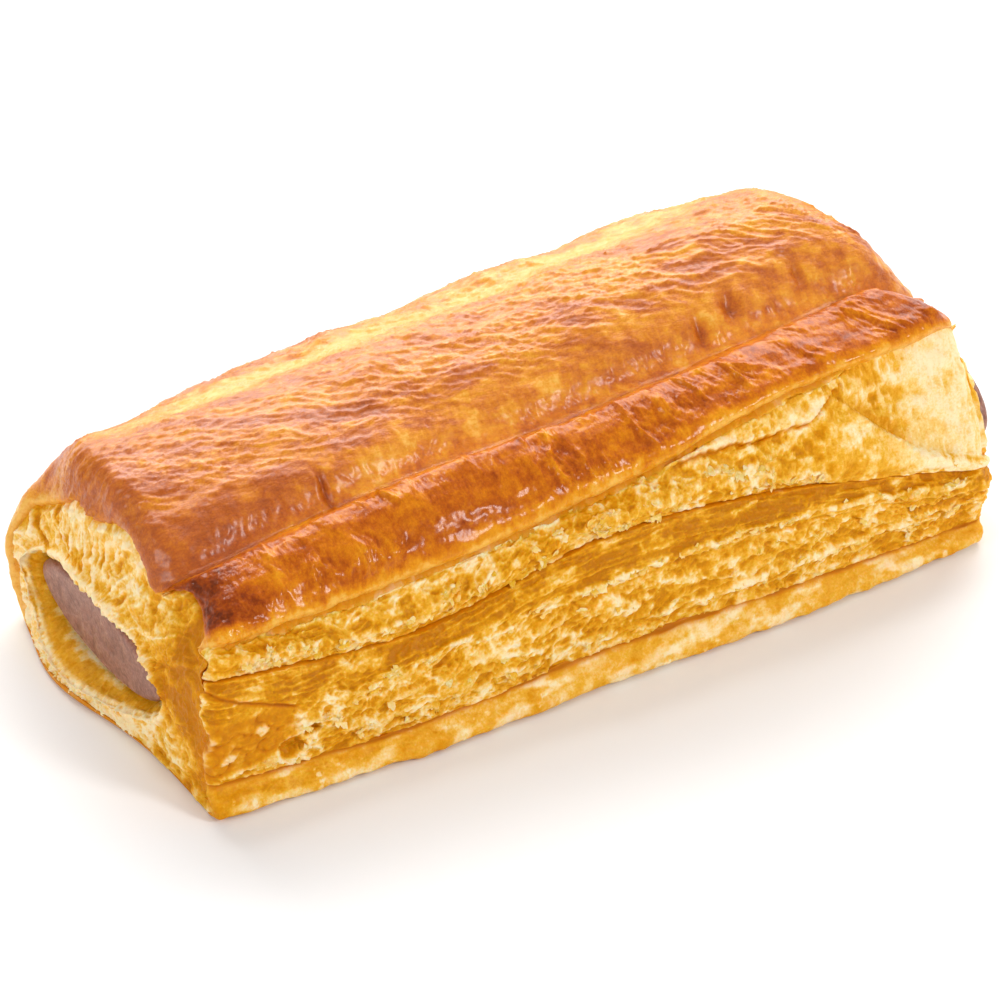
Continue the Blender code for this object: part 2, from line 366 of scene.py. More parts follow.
def blur(values, rows, columns):
    """Running means over a window of rows and columns, three times, which is close to a Gaussian."""
    for axis, half in ((0, rows), (1, columns)):
        if half < 1:
            continue
        for _ in range(3):
            pad = [(0, 0), (0, 0)]
            pad[axis] = (half + 1, half)
            sums = np.cumsum(np.pad(values, pad, mode="edge"), axis=axis)
            high = np.take(sums, np.arange(2 * half + 1, sums.shape[axis]), axis=axis)
            low = np.take(sums, np.arange(0, sums.shape[axis] - 2 * half - 1), axis=axis)
            values = (high - low) / (2 * half + 1)
    return values


def soften(values):
    """One light smoothing both ways: half the value and a quarter of each neighbour."""
    for axis in (0, 1):
        padded = np.pad(values, [(1, 1) if n == axis else (0, 0) for n in range(2)], mode="edge")
        places = np.arange(values.shape[axis])
        before, middle, after = (np.take(padded, places + n, axis=axis) for n in range(3))
        values = 0.25 * before + 0.5 * middle + 0.25 * after
    return values


# ---------------------------------------------------------------- meshes

def skin_shift():
    """Move from the skin's own millimetres to the frame: the CAD pastry's lowest corner fixes it."""
    q = np.linspace(0.0, ROUND, 400)
    shell = skin(q, np.linspace(0.0, 1.0, 300))
    low = np.array(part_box("pastry")[0]) / MM
    return low - shell.reshape(-1, 3).min(axis=0)


SHIFT = skin_shift()
SHARP_ANGLE = np.radians(75.0)


def make_object(name, points, faces, tones, material):
    """A mesh object at the origin from points in skin millimetres, with one float attribute for each tone."""
    mesh = bpy.data.meshes.new(name)
    mesh.from_pydata(((points + SHIFT) * MM).tolist(), [], faces)
    for tone, values in tones.items():
        mesh.attributes.new(tone, "FLOAT", "POINT").data.foreach_set("value", values.astype(np.float32))
    mesh.shade_smooth()
    mesh.set_sharp_from_angle(angle=SHARP_ANGLE)
    mesh.materials.append(material)
    piece = bpy.data.objects.new(name, mesh)
    bpy.context.scene.collection.objects.link(piece)
    return piece


def wrapped_quads(rows, columns, closed=False):
    """Quads of a grid whose last column joins its first, and whose last row joins its first where closed."""
    row = np.arange(rows if closed else rows - 1)[:, None]
    column = np.arange(columns)[None, :]
    start = row * columns
    after = (row + 1) % rows * columns
    beside = (column + 1) % columns
    return np.stack([start + column, after + column, after + beside, start + beside], axis=-1).reshape(-1, 4)


def bar(name, outer, core, tones, material):
    """A closed bar along the roll: a fine outer grid, a few hidden core columns behind it, and two caps.

    Each row is a loop out along the fine columns and back along the core's. A cap is a fan of triangles
    between the end row's fine points and its core points, both counted in the same proportion.
    """
    rows, fine = outer.shape[:2]
    coarse = core.shape[1]
    width = fine + coarse
    points = np.concatenate([outer, core[:, ::-1]], axis=1)
    faces = wrapped_quads(rows, width).tolist()
    partner = np.rint(np.arange(fine) / (fine - 1) * (coarse - 1)).astype(int)
    for row, turned in ((0, False), (rows - 1, True)):
        rim = row * width + np.arange(fine)
        back = row * width + width - 1 - partner
        fan = np.stack([rim[:-1], rim[1:], back[:-1]], axis=-1)
        moved = back[1:] != back[:-1]
        step = np.stack([rim[1:], back[1:], back[:-1]], axis=-1)[moved]
        triangles = np.concatenate([fan, step])
        faces += (triangles[:, ::-1] if turned else triangles).tolist()
    spread = {}
    for tone, values in tones.items():
        values = np.clip(values, 0.0, 1.0)
        behind = values[:, np.rint(np.linspace(0, fine - 1, coarse)).astype(int)]
        spread[tone] = np.concatenate([values, behind[:, ::-1]], axis=1).ravel()
    return make_object(name, points.reshape(-1, 3), faces, spread, material)


def core_behind(smooth, normals, thickness, columns=5):
    """A few columns of points set back behind the smooth skin by the thickness."""
    pick = np.rint(np.linspace(0, smooth.shape[1] - 1, columns)).astype(int)
    return smooth[:, pick] - normals[:, pick] * thickness


# ---------------------------------------------------------------- materials

def linear(red, green, blue):
    """A colour as the eye names it (0 to 255) turned to scene-linear values."""
    values = np.array([red, green, blue]) / 255.0
    return tuple(np.where(values <= 0.04045, values / 12.92, ((values + 0.055) / 1.055) ** 2.4))


class Nodes:
    """Short calls that add and link nodes of one material."""

    def __init__(self, name):
        self.material = bpy.data.materials.new(name)
        self.material.use_nodes = True
        self.tree = self.material.node_tree
        self.shader = self.tree.nodes["Principled BSDF"]

    def feed(self, socket, value):
        """Link another node's output to a socket, or set a plain value on it."""
        if isinstance(value, bpy.types.NodeSocket):
            self.tree.links.new(value, socket)
        else:
            socket.default_value = value

    def add(self, kind, inputs=None, **settings):
        """A new node with its settings and inputs."""
        node = self.tree.nodes.new(kind)
        for setting, value in settings.items():
            setattr(node, setting, value)
        for socket, value in (inputs or {}).items():
            self.feed(node.inputs[socket], value)
        return node

    def tone(self, name):
        """A tone that the mesh carries as an attribute."""
        return self.add("ShaderNodeAttribute", attribute_name=name).outputs["Fac"]

    def speckle(self, scale, detail=3.0, roughness=0.6, stretch=(1.0, 1.0, 1.0)):
        """Noise in the object's own space, drawn out by the stretch."""
        here = self.add("ShaderNodeTexCoord").outputs["Object"]
        place = self.add("ShaderNodeMapping", {"Vector": here, "Scale": stretch}).outputs["Vector"]
        inputs = {"Vector": place, "Scale": scale, "Detail": detail, "Roughness": roughness}
        return self.add("ShaderNodeTexNoise", inputs).outputs["Fac"]

    def shift(self, value, amount):
        """The value plus an amount."""
        return self.add("ShaderNodeMath", {0: value, 1: amount}, operation="ADD").outputs[0]

    def sum(self, first, second, share=1.0):
        """The first value plus a share of the second."""
        terms = {0: second, 1: share, 2: first}
        return self.add("ShaderNodeMath", terms, operation="MULTIPLY_ADD").outputs[0]

    def ramp(self, factor, stops):
        """A colour ramp with stops of (position, colour from 0 to 255)."""
        node = self.add("ShaderNodeValToRGB", {"Fac": factor})
        marks = node.color_ramp.elements
        while len(marks) < len(stops):
            marks.new(0.5)
        for mark, (position, colour) in zip(marks, stops):
            mark.position = position
            mark.color = (*linear(*colour), 1.0)
        return node.outputs["Color"]

    def mix(self, factor, first, second):
        """From the first colour to the second as the factor goes from 0 to 1."""
        node = self.add("ShaderNodeMix", data_type="RGBA")
        for index, value in ((0, factor), (6, first), (7, second)):
            self.feed(node.inputs[index], value)
        return node.outputs[2]

    def finish(self, colour, roughness, height, distance, **sockets):
        """Set the shader's colour, roughness, fine bumps and other sockets, and return the material."""
        self.feed(self.shader.inputs["Base Color"], colour)
        self.feed(self.shader.inputs["Roughness"], roughness)
        for socket, value in sockets.items():
            self.shader.inputs[socket.replace("_", " ")].default_value = value
        relief = self.add("ShaderNodeBump", {"Height": height, "Distance": distance, "Strength": 0.8})
        self.feed(self.shader.inputs["Normal"], relief.outputs["Normal"])
        return self.material


def crust_material(name, stretch, **gloss):
    """Egg-washed crust: pale gold to dark brown over the toast tone, speckled, under a thin gloss.

    The speckles and the fine bumps are drawn out along the wrinkles by the stretch.
    """
    nodes = Nodes(name)
    fine = nodes.speckle(2600.0)
    broad = nodes.speckle(900.0, stretch=stretch)
    toast = nodes.sum(nodes.tone("toast"), fine, 0.35)
    toast = nodes.sum(toast, broad, 0.45)
    toast = nodes.shift(toast, -0.4)
    colour = nodes.ramp(toast, (
        (0.0, (244, 186, 80)),
        (0.22, (232, 152, 20)),
        (0.42, (214, 122, 6)),
        (0.62, (186, 90, 6)),
        (0.82, (148, 60, 6)),
        (1.0, (104, 38, 6)),
    ))
    height = nodes.speckle(1500.0, detail=5.0, roughness=0.65, stretch=stretch)
    return nodes.finish(colour, 0.42, height, 0.00032, Subsurface_Weight=0.1, Subsurface_Scale=0.001,
                        Coat_IOR=1.45, **gloss)


def leaf_material():
    """Flaky leaves: cream to amber over the butter tone, browned by the toast tone, softly lit inside."""
    nodes = Nodes("flaky_leaves")
    fine = nodes.speckle(2400.0)
    broad = nodes.speckle(700.0)
    butter = nodes.sum(nodes.tone("butter"), fine, 0.5)
    butter = nodes.sum(butter, broad, 0.35)
    butter = nodes.shift(butter, -0.425)
    base = nodes.ramp(butter, (
        (0.0, (255, 232, 186)),
        (0.22, (249, 208, 126)),
        (0.42, (238, 178, 52)),
        (0.65, (222, 150, 8)),
        (1.0, (192, 116, 2)),
    ))
    browned = nodes.ramp(nodes.tone("toast"), (
        (0.0, (234, 156, 18)),
        (0.5, (204, 120, 4)),
        (1.0, (146, 70, 4)),
    ))
    baked = {"Value": nodes.tone("toast"), "From Min": 0.0, "From Max": 0.6}
    strength = nodes.add("ShaderNodeMapRange", baked).outputs["Result"]
    colour = nodes.mix(strength, base, browned)
    height = nodes.speckle(2600.0, detail=4.0)
    return nodes.finish(colour, 0.5, height, 0.00012, Subsurface_Weight=0.25, Subsurface_Scale=0.0012,
                        Coat_Weight=0.05, Coat_Roughness=0.3, Specular_IOR_Level=0.15,
                        Specular_Tint=(1.0, 0.75, 0.4, 1.0))


def sausage_material():
    """Cooked fine meat: mauve brown with paler and darker grains, moist."""
    nodes = Nodes("sausage_meat")
    grain = nodes.speckle(1500.0, detail=5.0, roughness=0.7)
    grain = nodes.sum(grain, nodes.tone("chunks"), 0.25)
    colour = nodes.ramp(grain, (
        (0.3, (118, 72, 58)),
        (0.5, (150, 100, 84)),
        (0.72, (178, 130, 108)),
    ))
    return nodes.finish(colour, 0.45, grain, 0.0002, Subsurface_Weight=0.15, Subsurface_Scale=0.002,
                        Coat_Weight=0.2, Coat_Roughness=0.3)


# ---------------------------------------------------------------- relief of the crust

def spot(x, v, centre_x, centre_v, width_x, width_v, strength=1.0):
    """A soft spot of the given strength: one bell along x times one bell along v."""
    return strength * bump(x, centre_x, width_x) * bump(v, centre_v, width_v)


def spots(x, v, table):
    """The sum of all spots in a table whose rows hold centre x, centre v, width x, width v and strength."""
    return sum(spot(x, v, *row) for row in table)


# Crown: centre x, centre across, width x, width across, strength
CROWN_DIMPLES = (
    (40.0, 9.0, 1.6, 3.0, 1.0),
    (33.0, 7.0, 1.2, 2.4, 1.0),
    (-41.0, 6.0, 0.7, 3.2, 1.0),
    (55.0, 9.0, 1.0, 3.0, 0.7),
)
CROWN_SWELLINGS = (
    (68.0, 9.0, 6.0, 5.0, 0.9),
    (-72.0, 19.0, 2.6, 4.0, -1.1),
)
DARKEST_TOAST = 0.72


def wrinkle_drift(x):
    """How far the crown's wrinkles have drifted to the front at x: steepest towards both ends."""
    return 0.36 * x - 5.5 * np.exp(-(x + 80.0) / 25.0) + 11.0 * np.exp((x - 80.0) / 18.0)


def crown_relief(points, across):
    """Height and toast of the crown and back.

    Fine wrinkles are sharp crests of stretched, bent noise that follow the drift, strongest on the ridge
    band. The front slope has upright ripples. Broad swells and a lengthwise valley shape the whole.
    """
    x, y, z = np.moveaxis(points, -1, 0)
    bend = fractal(points, 12.0, 2, seed=1)
    small_bend = fractal(points, 3.5, 2, seed=3)
    top = smooth_ramp(across + 1.5 * bend, 9.0, 16.0)
    slope = 1.0 - top
    drifted = across + wrinkle_drift(x) + 2.2 * bend + 0.35 * small_bend
    folds = ridges(plane(x, drifted), (9.0, 2.6, 5.0), 2, 0.6, seed=4) - 0.3
    wrinkles = ridges(plane(x, drifted, 9.0), (3.0, 1.0, 3.0), 3, 0.7, seed=7) - 0.3
    rippled = plane(x + 1.5 * bend + 0.5 * small_bend, across * 0.3)
    upright = ridges(rippled, (1.5, 1.5, 3.0), 2, 0.6, seed=14) - 0.3
    swell = fractal(points, (19.0, 11.0, 11.0), 3, seed=2)
    back_lumps = fractal(plane(x, 0.35 * y, 0.35 * z), 11.0, 2, seed=9)
    on_back = smooth_ramp(across, 26.0, 38.0) * smooth_ramp(across, 68.0, 58.0)
    valley = bump(across, 38.0 + 1.5 * bend, 3.4) * ramp(x, -72.0, -45.0) * ramp(x, 60.0, 20.0)
    calm = 1.0 - 0.7 * smooth_ramp(across, 46.0, 60.0)
    strength = 0.45 + 0.55 * smooth_ramp(fractal(points, 16.0, 2, seed=5), -0.4, 0.3)
    dimples = spots(x, across, CROWN_DIMPLES)

    height = 1.1 * swell + 0.9 * back_lumps * on_back - 1.1 * valley - 1.3 * dimples
    height += (0.44 * folds + 0.46 * wrinkles * strength) * top * calm
    height += 0.26 * upright * slope * ramp(across, 1.0, 4.0) + 0.07 * fractal(points, 1.0, 2, seed=6)
    height += spots(x, across, CROWN_SWELLINGS)
    height -= 1.7 * smooth_ramp(x, 56.0, 67.0) * bump(across, 0.0, 3.2) + smooth_ramp(across, 1.3, 0.1)

    patches = fractal(plane(x, drifted), (13.0, 4.5, 8.0), 3, 0.6, seed=21)
    mottle = fractal(points, 2.2, 3, 0.75, seed=23)
    slope_mottle = fractal(points, (5.0, 7.0, 7.0), 3, 0.6, seed=24)
    band = bump(across, 17.0 + 2.0 * bend, 6.5)
    toast = 0.34 + 0.46 * smooth_ramp(patches, -0.05, 0.4) * (0.35 + 0.65 * band) + 0.16 * patches
    toast += 0.26 * mottle + 0.08 * swell - 0.44 * valley + 0.42 * dimples
    toast += top * (0.12 * ramp(x, 20.0, -40.0) + 0.20 * ramp(x, -62.0, -72.0))
    toast += top * (0.22 * wrinkles - 0.20 * folds)
    toast += slope * (0.54 * ramp(x, -40.0, -62.0) + 0.10 * ramp(x, 35.0, 60.0))
    toast += slope * (0.44 * slope_mottle - 0.16 * upright)
    # Browner along the groove in front, as painted shade in the fold; a little paler towards the back.
    toast += 0.16 * smooth_ramp(across, 4.0, 0.5) - 0.08 * smooth_ramp(across, 30.0, 44.0)
    toast += 0.10 * smooth_ramp(across, 60.0, 75.0)
    toast -= 0.8 * smooth_ramp(x, -68.0, -76.0) * smooth_ramp(across, 36.0, 48.0)
    toast = np.clip(toast, 0.0, 1.0)
    return height, toast / (1.0 + (toast / DARKEST_TOAST) ** 4) ** 0.25


def lip_relief(points, across, q):
    """Height and toast of the lip: upright wrinkles down its face, lumps along it and a finely ribbed edge.

    The wrinkles lean over towards the right end, and the tip at the left is baked darkest.
    """
    x = points[..., 0]
    bend = fractal(points, 8.0, 2, seed=31)
    small_bend = fractal(points, 2.5, 2, seed=32)
    lean = across * (0.15 + 0.55 * ramp(x, 10.0, 60.0))
    face = plane(x + lean + 1.3 * bend + 0.35 * small_bend, across * 0.28)
    wrinkles = ridges(face, (1.5, 1.5, 3.0), 2, 0.6, seed=33) - 0.3
    deep = ridges(face, (4.5, 3.5, 3.0), 1, seed=34) - 0.25
    on_face = smooth_ramp(q, 8.1, 8.6) * smooth_ramp(q, 10.8, 10.0)
    wrinkled = on_face * smooth_ramp(fractal(points, 10.0, 2, seed=35), -0.35, 0.35)
    ribs = noise(plane(x, across * 0.2), (0.9, 0.9, 1.0), seed=38)
    pebbles = fractal(points, 0.9, 2, seed=39)

    height = 0.75 * fractal(points, (12.0, 6.0, 6.0), 3, seed=36)
    height += (0.38 * wrinkles + 0.85 * deep) * wrinkled
    height += 0.06 * ribs * bump(q, LIP_EDGE, 0.3) + (0.06 + 0.16 * ramp(x, -58.0, -64.0)) * pebbles
    height -= 1.2 * smooth_ramp(x, 56.0, 67.0) * smooth_ramp(q, 10.3, 11.0)

    patches = fractal(points, (6.0, 4.0, 4.0), 3, 0.6, seed=41)
    mottle = fractal(points, 1.8, 3, 0.75, seed=43)
    # The wrinkles' crests are paler and their furrows browner: partly uneven browning, partly painted
    # highlight and painted shade. The paler crest of the lip (the last term below) is partly a painted sheen.
    toast = 0.57 + 0.24 * patches + 0.24 * mottle - (0.22 * wrinkles + 0.2 * deep) * wrinkled
    toast -= 0.46 * smooth_ramp(q + 0.25 * patches, 8.5, 7.8) + 0.10 * smooth_ramp(q, 9.6, 10.6)
    toast += 0.34 * ramp(x, -58.0, -69.0) * on_face + 0.08 * ramp(x, 30.0, 70.0)
    return height, np.clip(toast, 0.0, 1.0)


# ---------------------------------------------------------------- relief of the open leaves

PLATE_SIZE = np.array([6.5, 3.0])
PLATE_COVER = 0.55


def torn_plates(a, b, size, cover, seed):
    """Torn leaves that lie over each other, as a height from 0 to about 1, with their raised rims.

    Each scattered seed owns a patch; a share of them, given by cover, carries a leaf that tilts at random.
    The outline is bent by two sizes of noise, so it looks torn, and the leaf curls up near its rim.
    """
    spread = plane(a, b, seed)
    wide, narrow = size[0] * 0.7, size[0] * 0.18
    a = a + 0.40 * size[0] * noise(spread, wide, seed) + 0.12 * size[0] * noise(spread, narrow, seed + 1)
    b = b + 0.40 * size[1] * noise(spread, wide, seed + 2) + 0.20 * size[1] * noise(spread, narrow, seed + 3)
    _, border, die, slope = cells(a, b, size, seed)
    there = die < cover
    leaf = there * (0.40 + 0.60 * die / cover + 1.3 * slope)
    rim = there * bump(border, 0.06, 0.07)
    return soften(np.clip(leaf, 0.0, 2.0)), soften(rim)


def leaf_stack(points, v, seed):
    """Height and openness of flaky leaves: three sizes of torn plates, soft folds and thin webs between them.

    The height is in millimetres. Openness runs from 0 on a leaf's face to 1 in the gaps between leaves.
    """
    bend = fractal(points, 8.0, 2, seed=seed)
    small_bend = fractal(points, 2.2, 2, seed=seed + 2)
    a = points[..., 0] + 2.2 * bend + 0.6 * small_bend
    b = v + 1.4 * bend + 0.4 * small_bend
    big, big_rim = torn_plates(a, b, PLATE_SIZE, PLATE_COVER, seed + 1)
    middle, middle_rim = torn_plates(a + 3.0, b, PLATE_SIZE * (0.5, 0.55), 0.42, seed + 11)
    small, small_rim = torn_plates(a, b + 5.0, PLATE_SIZE * (0.24, 0.30), 0.3, seed + 21)
    rough = smooth_ramp(fractal(points, 7.0, 2, seed=seed + 37), -0.3, 0.3)
    layered = smooth_ramp(fractal(points, (18.0, 6.0, 6.0), 2, seed=seed + 47), -0.15, 0.35)
    folds = fractal(plane(a, b * 1.3), 3.4, 3, 0.55, seed=seed + 31)
    webs = ridges(plane(a, b * 1.2), 4.2, 1, seed=seed + 33) ** 2
    strands = rough * ridges(plane(a * 0.8, b), 2.0, 1, seed=seed + 35) ** 2
    threads = rough * ridges(plane(a * 0.8, b * 1.1), 1.0, 1, seed=seed + 38) ** 2
    sheets = layered * ridges(plane(a * 0.12, b + 0.8 * bend), (1.6, 1.6, 3.0), 1, seed=seed + 45) ** 2
    height = 0.36 * big + 0.24 * middle + 0.16 * small * rough + 0.34 * folds + 0.30 * webs
    height += 0.20 * big_rim + 0.16 * middle_rim + 0.12 * small_rim
    height += 0.22 * strands + 0.14 * threads + 0.26 * sheets + 0.08 * fractal(points, 0.8, 2, seed=seed + 39)
    lines = np.clip(webs + 0.8 * strands + 0.6 * threads + 0.7 * big_rim, 0.0, 1.0)
    return height, 1.0 - np.clip(0.6 * big + 0.5 * middle + 0.4 * small + lines, 0.0, 1.0)


def leaf_tones(height, open_gap, points, step, seed):
    """Butter tone: torn cream patches on gold, pale where proud, deep gold in the open gaps and hollows; the
    pale and the deep gold are partly painted light and painted shade.
    """
    window = max(int(1.0 / step), 1)
    proud = np.clip((height - blur(height, window, window)) / 0.3, -1.0, 1.0)
    broad = fractal(points, (14.0, 8.0, 5.0), 3, seed=seed + 41)
    cream = smooth_ramp(fractal(points, 4.5, 4, 0.65, seed=seed + 43), -0.02, 0.22)
    freckles = fractal(points, 0.9, 2, 0.7, seed=seed + 44)
    # Partly painted light and shade: proud points paler, hollows and open gaps deeper gold.
    return 0.46 + 0.28 * open_gap - 0.20 * proud + 0.22 * broad - 0.30 * cream + 0.20 * freckles


# ---------------------------------------------------------------- pieces

crust = crust_material("crown_crust", (0.45, 1.0, 1.0), Coat_Weight=0.46, Coat_Roughness=0.24,
                       Specular_IOR_Level=0.34, Specular_Tint=(1.0, 0.84, 0.7, 1.0))
lip_crust = crust_material("lip_crust", (1.0, 0.5, 0.5), Coat_Weight=0.38, Coat_Roughness=0.16,
                           Specular_IOR_Level=0.08, Specular_Tint=(1.0, 0.7, 0.4, 1.0))
leaves = leaf_material()
meat = sausage_material()
carved = {}


def rows_of(step):
    """Even places from 0 to 1 along the roll, about one step apart in millimetres."""
    return np.linspace(0.0, 1.0, int(LENGTH / step) + 2)


def line_height(values, x):
    """Height at x of a line that runs along the roll through evenly spaced values."""
    return along(values, (x - LEFT_X) / LENGTH)


def roll_over(points, thickness, width):
    """Extra height that rounds a crust off at its two end rows: a quarter circle of the given thickness."""
    near_end = np.clip(from_ends(points) / width, 0.0, 1.0)
    return thickness * (np.sqrt(1.0 - (1.0 - near_end) ** 2) - 1.0)


def tuck_under(points, height, seed, width=3.0):
    """Bring a height down to 0.9 mm under the skin over the last millimetres before each end, unevenly."""
    torn = from_ends(points) + 0.9 * fractal(points, 2.6, 3, 0.6, seed=seed)
    free = smooth_ramp(torn, 0.6, width)
    return height * free - 0.9 * (1.0 - free)


def torn_wrap(q, base, amount, seed):
    """How far a crust reaches over an end at each place q: a base length, torn by three sizes of noise."""
    middle = section(q, np.full(q.shape, 0.5))
    trail = plane(middle[:, 0], middle[:, 1])
    return base + amount * (noise(trail, 6.0, seed) + 0.4 * noise(trail, 1.6, seed + 1)
                            + 0.15 * noise(trail, 0.6, seed + 2))


def crown_wraps(q):
    """Reach of the crust over the left and the right end: furthest over the top, where it sags."""
    on_top = smooth_ramp(q, GROOVE + 1.6, CROWN) * smooth_ramp(q, BACK - 0.3, BACK - 1.3)
    in_fold = smooth_ramp(q, GROOVE + 1.4, GROOVE)
    left = torn_wrap(q, 0.5, 0.8, 201) + 4.4 * on_top + 0.8 * in_fold
    right = torn_wrap(q, 5.6, 1.0, 204) + 2.0 * in_fold
    return left, right


def lip_wraps(q):
    """Reach of the lip over the left and the right end, growing from its free edge to the fold."""
    towards_fold = smooth_ramp(q, LIP_EDGE, GROOVE)
    left = torn_wrap(q, 1.6, 0.5, 211) + 0.4 * towards_fold
    return left, torn_wrap(q, 1.5, 0.5, 214) + 5.0 * towards_fold


def crust_reach(q, side):
    """Reach of whichever crust lies over the end at each place q, and below zero where there is none."""
    pick = 0 if side < 0 else 1
    covered = np.where(q > GROOVE - 0.35, crown_wraps(q)[pick], lip_wraps(q)[pick])
    return np.where((q > UNDER_LIP + 0.4) & (q < BASE_BACK), covered, -3.0)


def from_ends(points):
    """Distance in millimetres of each grid point from the nearer end row, along the rows' paths."""
    steps = np.linalg.norm(np.diff(points, axis=0), axis=-1)
    path = np.concatenate([np.zeros((1, points.shape[1])), np.cumsum(steps, axis=0)])
    return np.minimum(path, path[-1:] - path)


CRUST_THICK = 0.8


# Grid steps across and along each piece, and how far its hidden core lies behind the skin
CROWN_STEPS = (0.33, 0.39)
BACK_STEP = 0.66
LIP_STEPS = (0.22, 0.25)
UPPER_STEPS = (0.18, 0.19)
LOWER_STEPS = (0.2, 0.2)
FOOT_STEPS = (0.25, 0.28)
END_STEP = 0.30
CROWN_CORE = 2.6
LIP_CORE = 2.4
LEAF_CORE = 3.2
FOOT_CORE = 1.6


def raised(smooth, normals, height):
    """The smooth grid lifted along its normals by a height in millimetres."""
    return smooth + normals * height[..., None]


def make_crown():
    """The crust over the top and back, from the fold to the base."""
    fine = even_places(GROOVE - 0.35, 15.3, CROWN_STEPS[0])
    q = np.concatenate([fine, even_places(15.3, BASE_BACK + 0.05, BACK_STEP)[1:]])
    smooth = skin(q, rows_of(CROWN_STEPS[1]), *crown_wraps(q))
    normals = grid_normals(smooth)
    height, toast = crown_relief(smooth, reach_across(smooth))
    height += CRUST_THICK * 0.5 + roll_over(smooth, CRUST_THICK, 1.0)
    toast = toast - 0.14 * smooth_ramp(from_ends(smooth), 2.2, 0.2)
    at_base = ramp(smooth[..., 2], 5.0, 0.5) * (q > BACK)
    outer = raised(smooth, normals, height * (1.0 - at_base))
    return bar("crown_crust", outer, core_behind(smooth, normals, CROWN_CORE, 15), {"toast": toast}, crust)


def make_lip():
    """The rolled edge of the folded top sheet, from its free edge to the fold."""
    q = even_places(UNDER_LIP + 0.4, GROOVE + 0.2, LIP_STEPS[0])
    smooth = skin(q, rows_of(LIP_STEPS[1]), *lip_wraps(q))
    normals = grid_normals(smooth)
    height, toast = lip_relief(smooth, reach_across(smooth), np.broadcast_to(q, smooth.shape[:2]))
    height += CRUST_THICK * 0.5 + roll_over(smooth, CRUST_THICK, 1.0)
    height -= smooth_ramp(q, GROOVE - 0.05, GROOVE + 0.2)
    toast = toast - 0.3 * smooth_ramp(from_ends(smooth), 1.6, 0.2)
    outer = raised(smooth, normals, height)
    return bar("fold_lip", outer, core_behind(smooth, normals, LIP_CORE, 7), {"toast": toast}, lip_crust)


PILLOW_EDGE_X = (44.0, 52.6, 63.1, 78.5)
PILLOW_EDGE_Z = (39.4, 31.6, 22.9, 15.6)


def finish_leaves(name, grid, height, fade, tuck, proud, tones):
    """Sink the leaves' edges under their neighbours, keep the surface for the flakes and make the bar."""
    smooth, normals = grid
    sunk = tuck_under(smooth, (height - 0.1) * fade - 0.5 * (1.0 - fade), *tuck)
    outer = raised(smooth, normals, sunk)
    carved[name] = (outer, normals, (height - blur(height, 8, 8)) * proud)
    return bar(name, outer, core_behind(smooth, normals, LEAF_CORE), tones, leaves)


def make_upper_leaves():
    """The open side from the seam up under the lip: leaves, a long crack and the pillow at the right."""
    q = even_places(SEAM - 0.05, UNDER_LIP + 0.7, UPPER_STEPS[0])
    smooth = skin(q, rows_of(UPPER_STEPS[1]), torn_wrap(q, 2.6, 1.0, 58), torn_wrap(q, 2.6, 1.0, 61))
    normals = grid_normals(smooth)
    v = reach_across(smooth)
    x, z = smooth[..., 0], smooth[..., 2]
    bend = noise(smooth, 5.0, 52) + 0.5 * noise(smooth, 1.6, 53)
    towards_lip = q - 0.22 * bend
    edge_z = np.interp(x, PILLOW_EDGE_X, PILLOW_EDGE_Z)
    pillow = smooth_ramp(edge_z - z + 0.5 * bend, -0.1, 0.25) * smooth_ramp(x + 0.6 * bend, 42.0, 46.0)
    beyond = smooth_ramp(z - edge_z, -0.1, 0.4) * smooth_ramp(x, 46.0, 56.0)
    soft = 1.1 * fractal(smooth, (9.0, 6.0, 5.0), 3, seed=55)
    above_crack = z - (34.0 + 4.0 * smooth_ramp(x, 40.0, 52.0) + 0.6 * bend)
    crack = bump(above_crack, 0.0, 0.28) * smooth_ramp(x, 6.0, 12.0) * smooth_ramp(x, 51.0, 48.0)
    overhang = smooth_ramp(above_crack, -0.2, 0.3) * np.exp(-np.maximum(above_crack, 0.0) / 1.6)
    overhang *= smooth_ramp(x, 4.0, 12.0) * smooth_ramp(x, 51.0, 47.0)

    height, open_gap = leaf_stack(smooth, v, 51)
    height += 0.9 * smooth_ramp(q, 6.2, 6.9) - 2.0 * smooth_ramp(towards_lip, 7.4, 7.7)
    height = height * (1.0 - 0.6 * pillow) + pillow * (1.2 + soft) - 1.2 * beyond
    height += 0.9 * overhang - 0.6 * crack

    butter = leaf_tones(height, open_gap * (1.0 - pillow), smooth, UPPER_STEPS[0], 51)
    # Paler towards the right end: partly the pastry's own cream, partly painted light where the bright light
    # falls on that end.
    butter += pillow * (0.08 - 0.30 * ramp(x, 52.0, 72.0)) + 0.16 * smooth_ramp(q, 6.8, 7.2)
    butter += 0.85 * beyond * smooth_ramp(x, 54.0, 68.0) * (0.24 * open_gap - butter)
    toast = (0.5 + 0.3 * bend) * bump(v, 0.25, 0.35) + 0.6 * crack
    toast += 0.25 * spot(x, v, -66.0, 2.0, 5.0, 1.8) + 0.45 * smooth_ramp(towards_lip, 7.25, 7.5)
    proud = (1.0 - pillow) * (q < 6.4)
    tones = {"butter": butter, "toast": toast}
    fade = smooth_ramp(v, 0.0, 0.5)
    return finish_leaves("upper_leaves", (smooth, normals), height, fade, (57, 5.0), proud, tones)


LEDGE_Z = (12.5, 16.6, 20.6, 19.2, 11.0)
LOW_LEDGE_Z = (9.0, 8.6, 9.6, 11.0, 9.4)


# Blisters on the glossy corner: centre x, centre z, width x, width z, strength
CORNER_BLISTERS = (
    (-72.1, 10.6, 1.5, 1.1, 1.0),
    (-65.7, 14.4, 1.7, 1.2, 1.0),
    (-73.8, 15.0, 1.4, 1.6, 0.6),
    (-68.0, 11.5, 2.0, 0.9, 0.5),
)


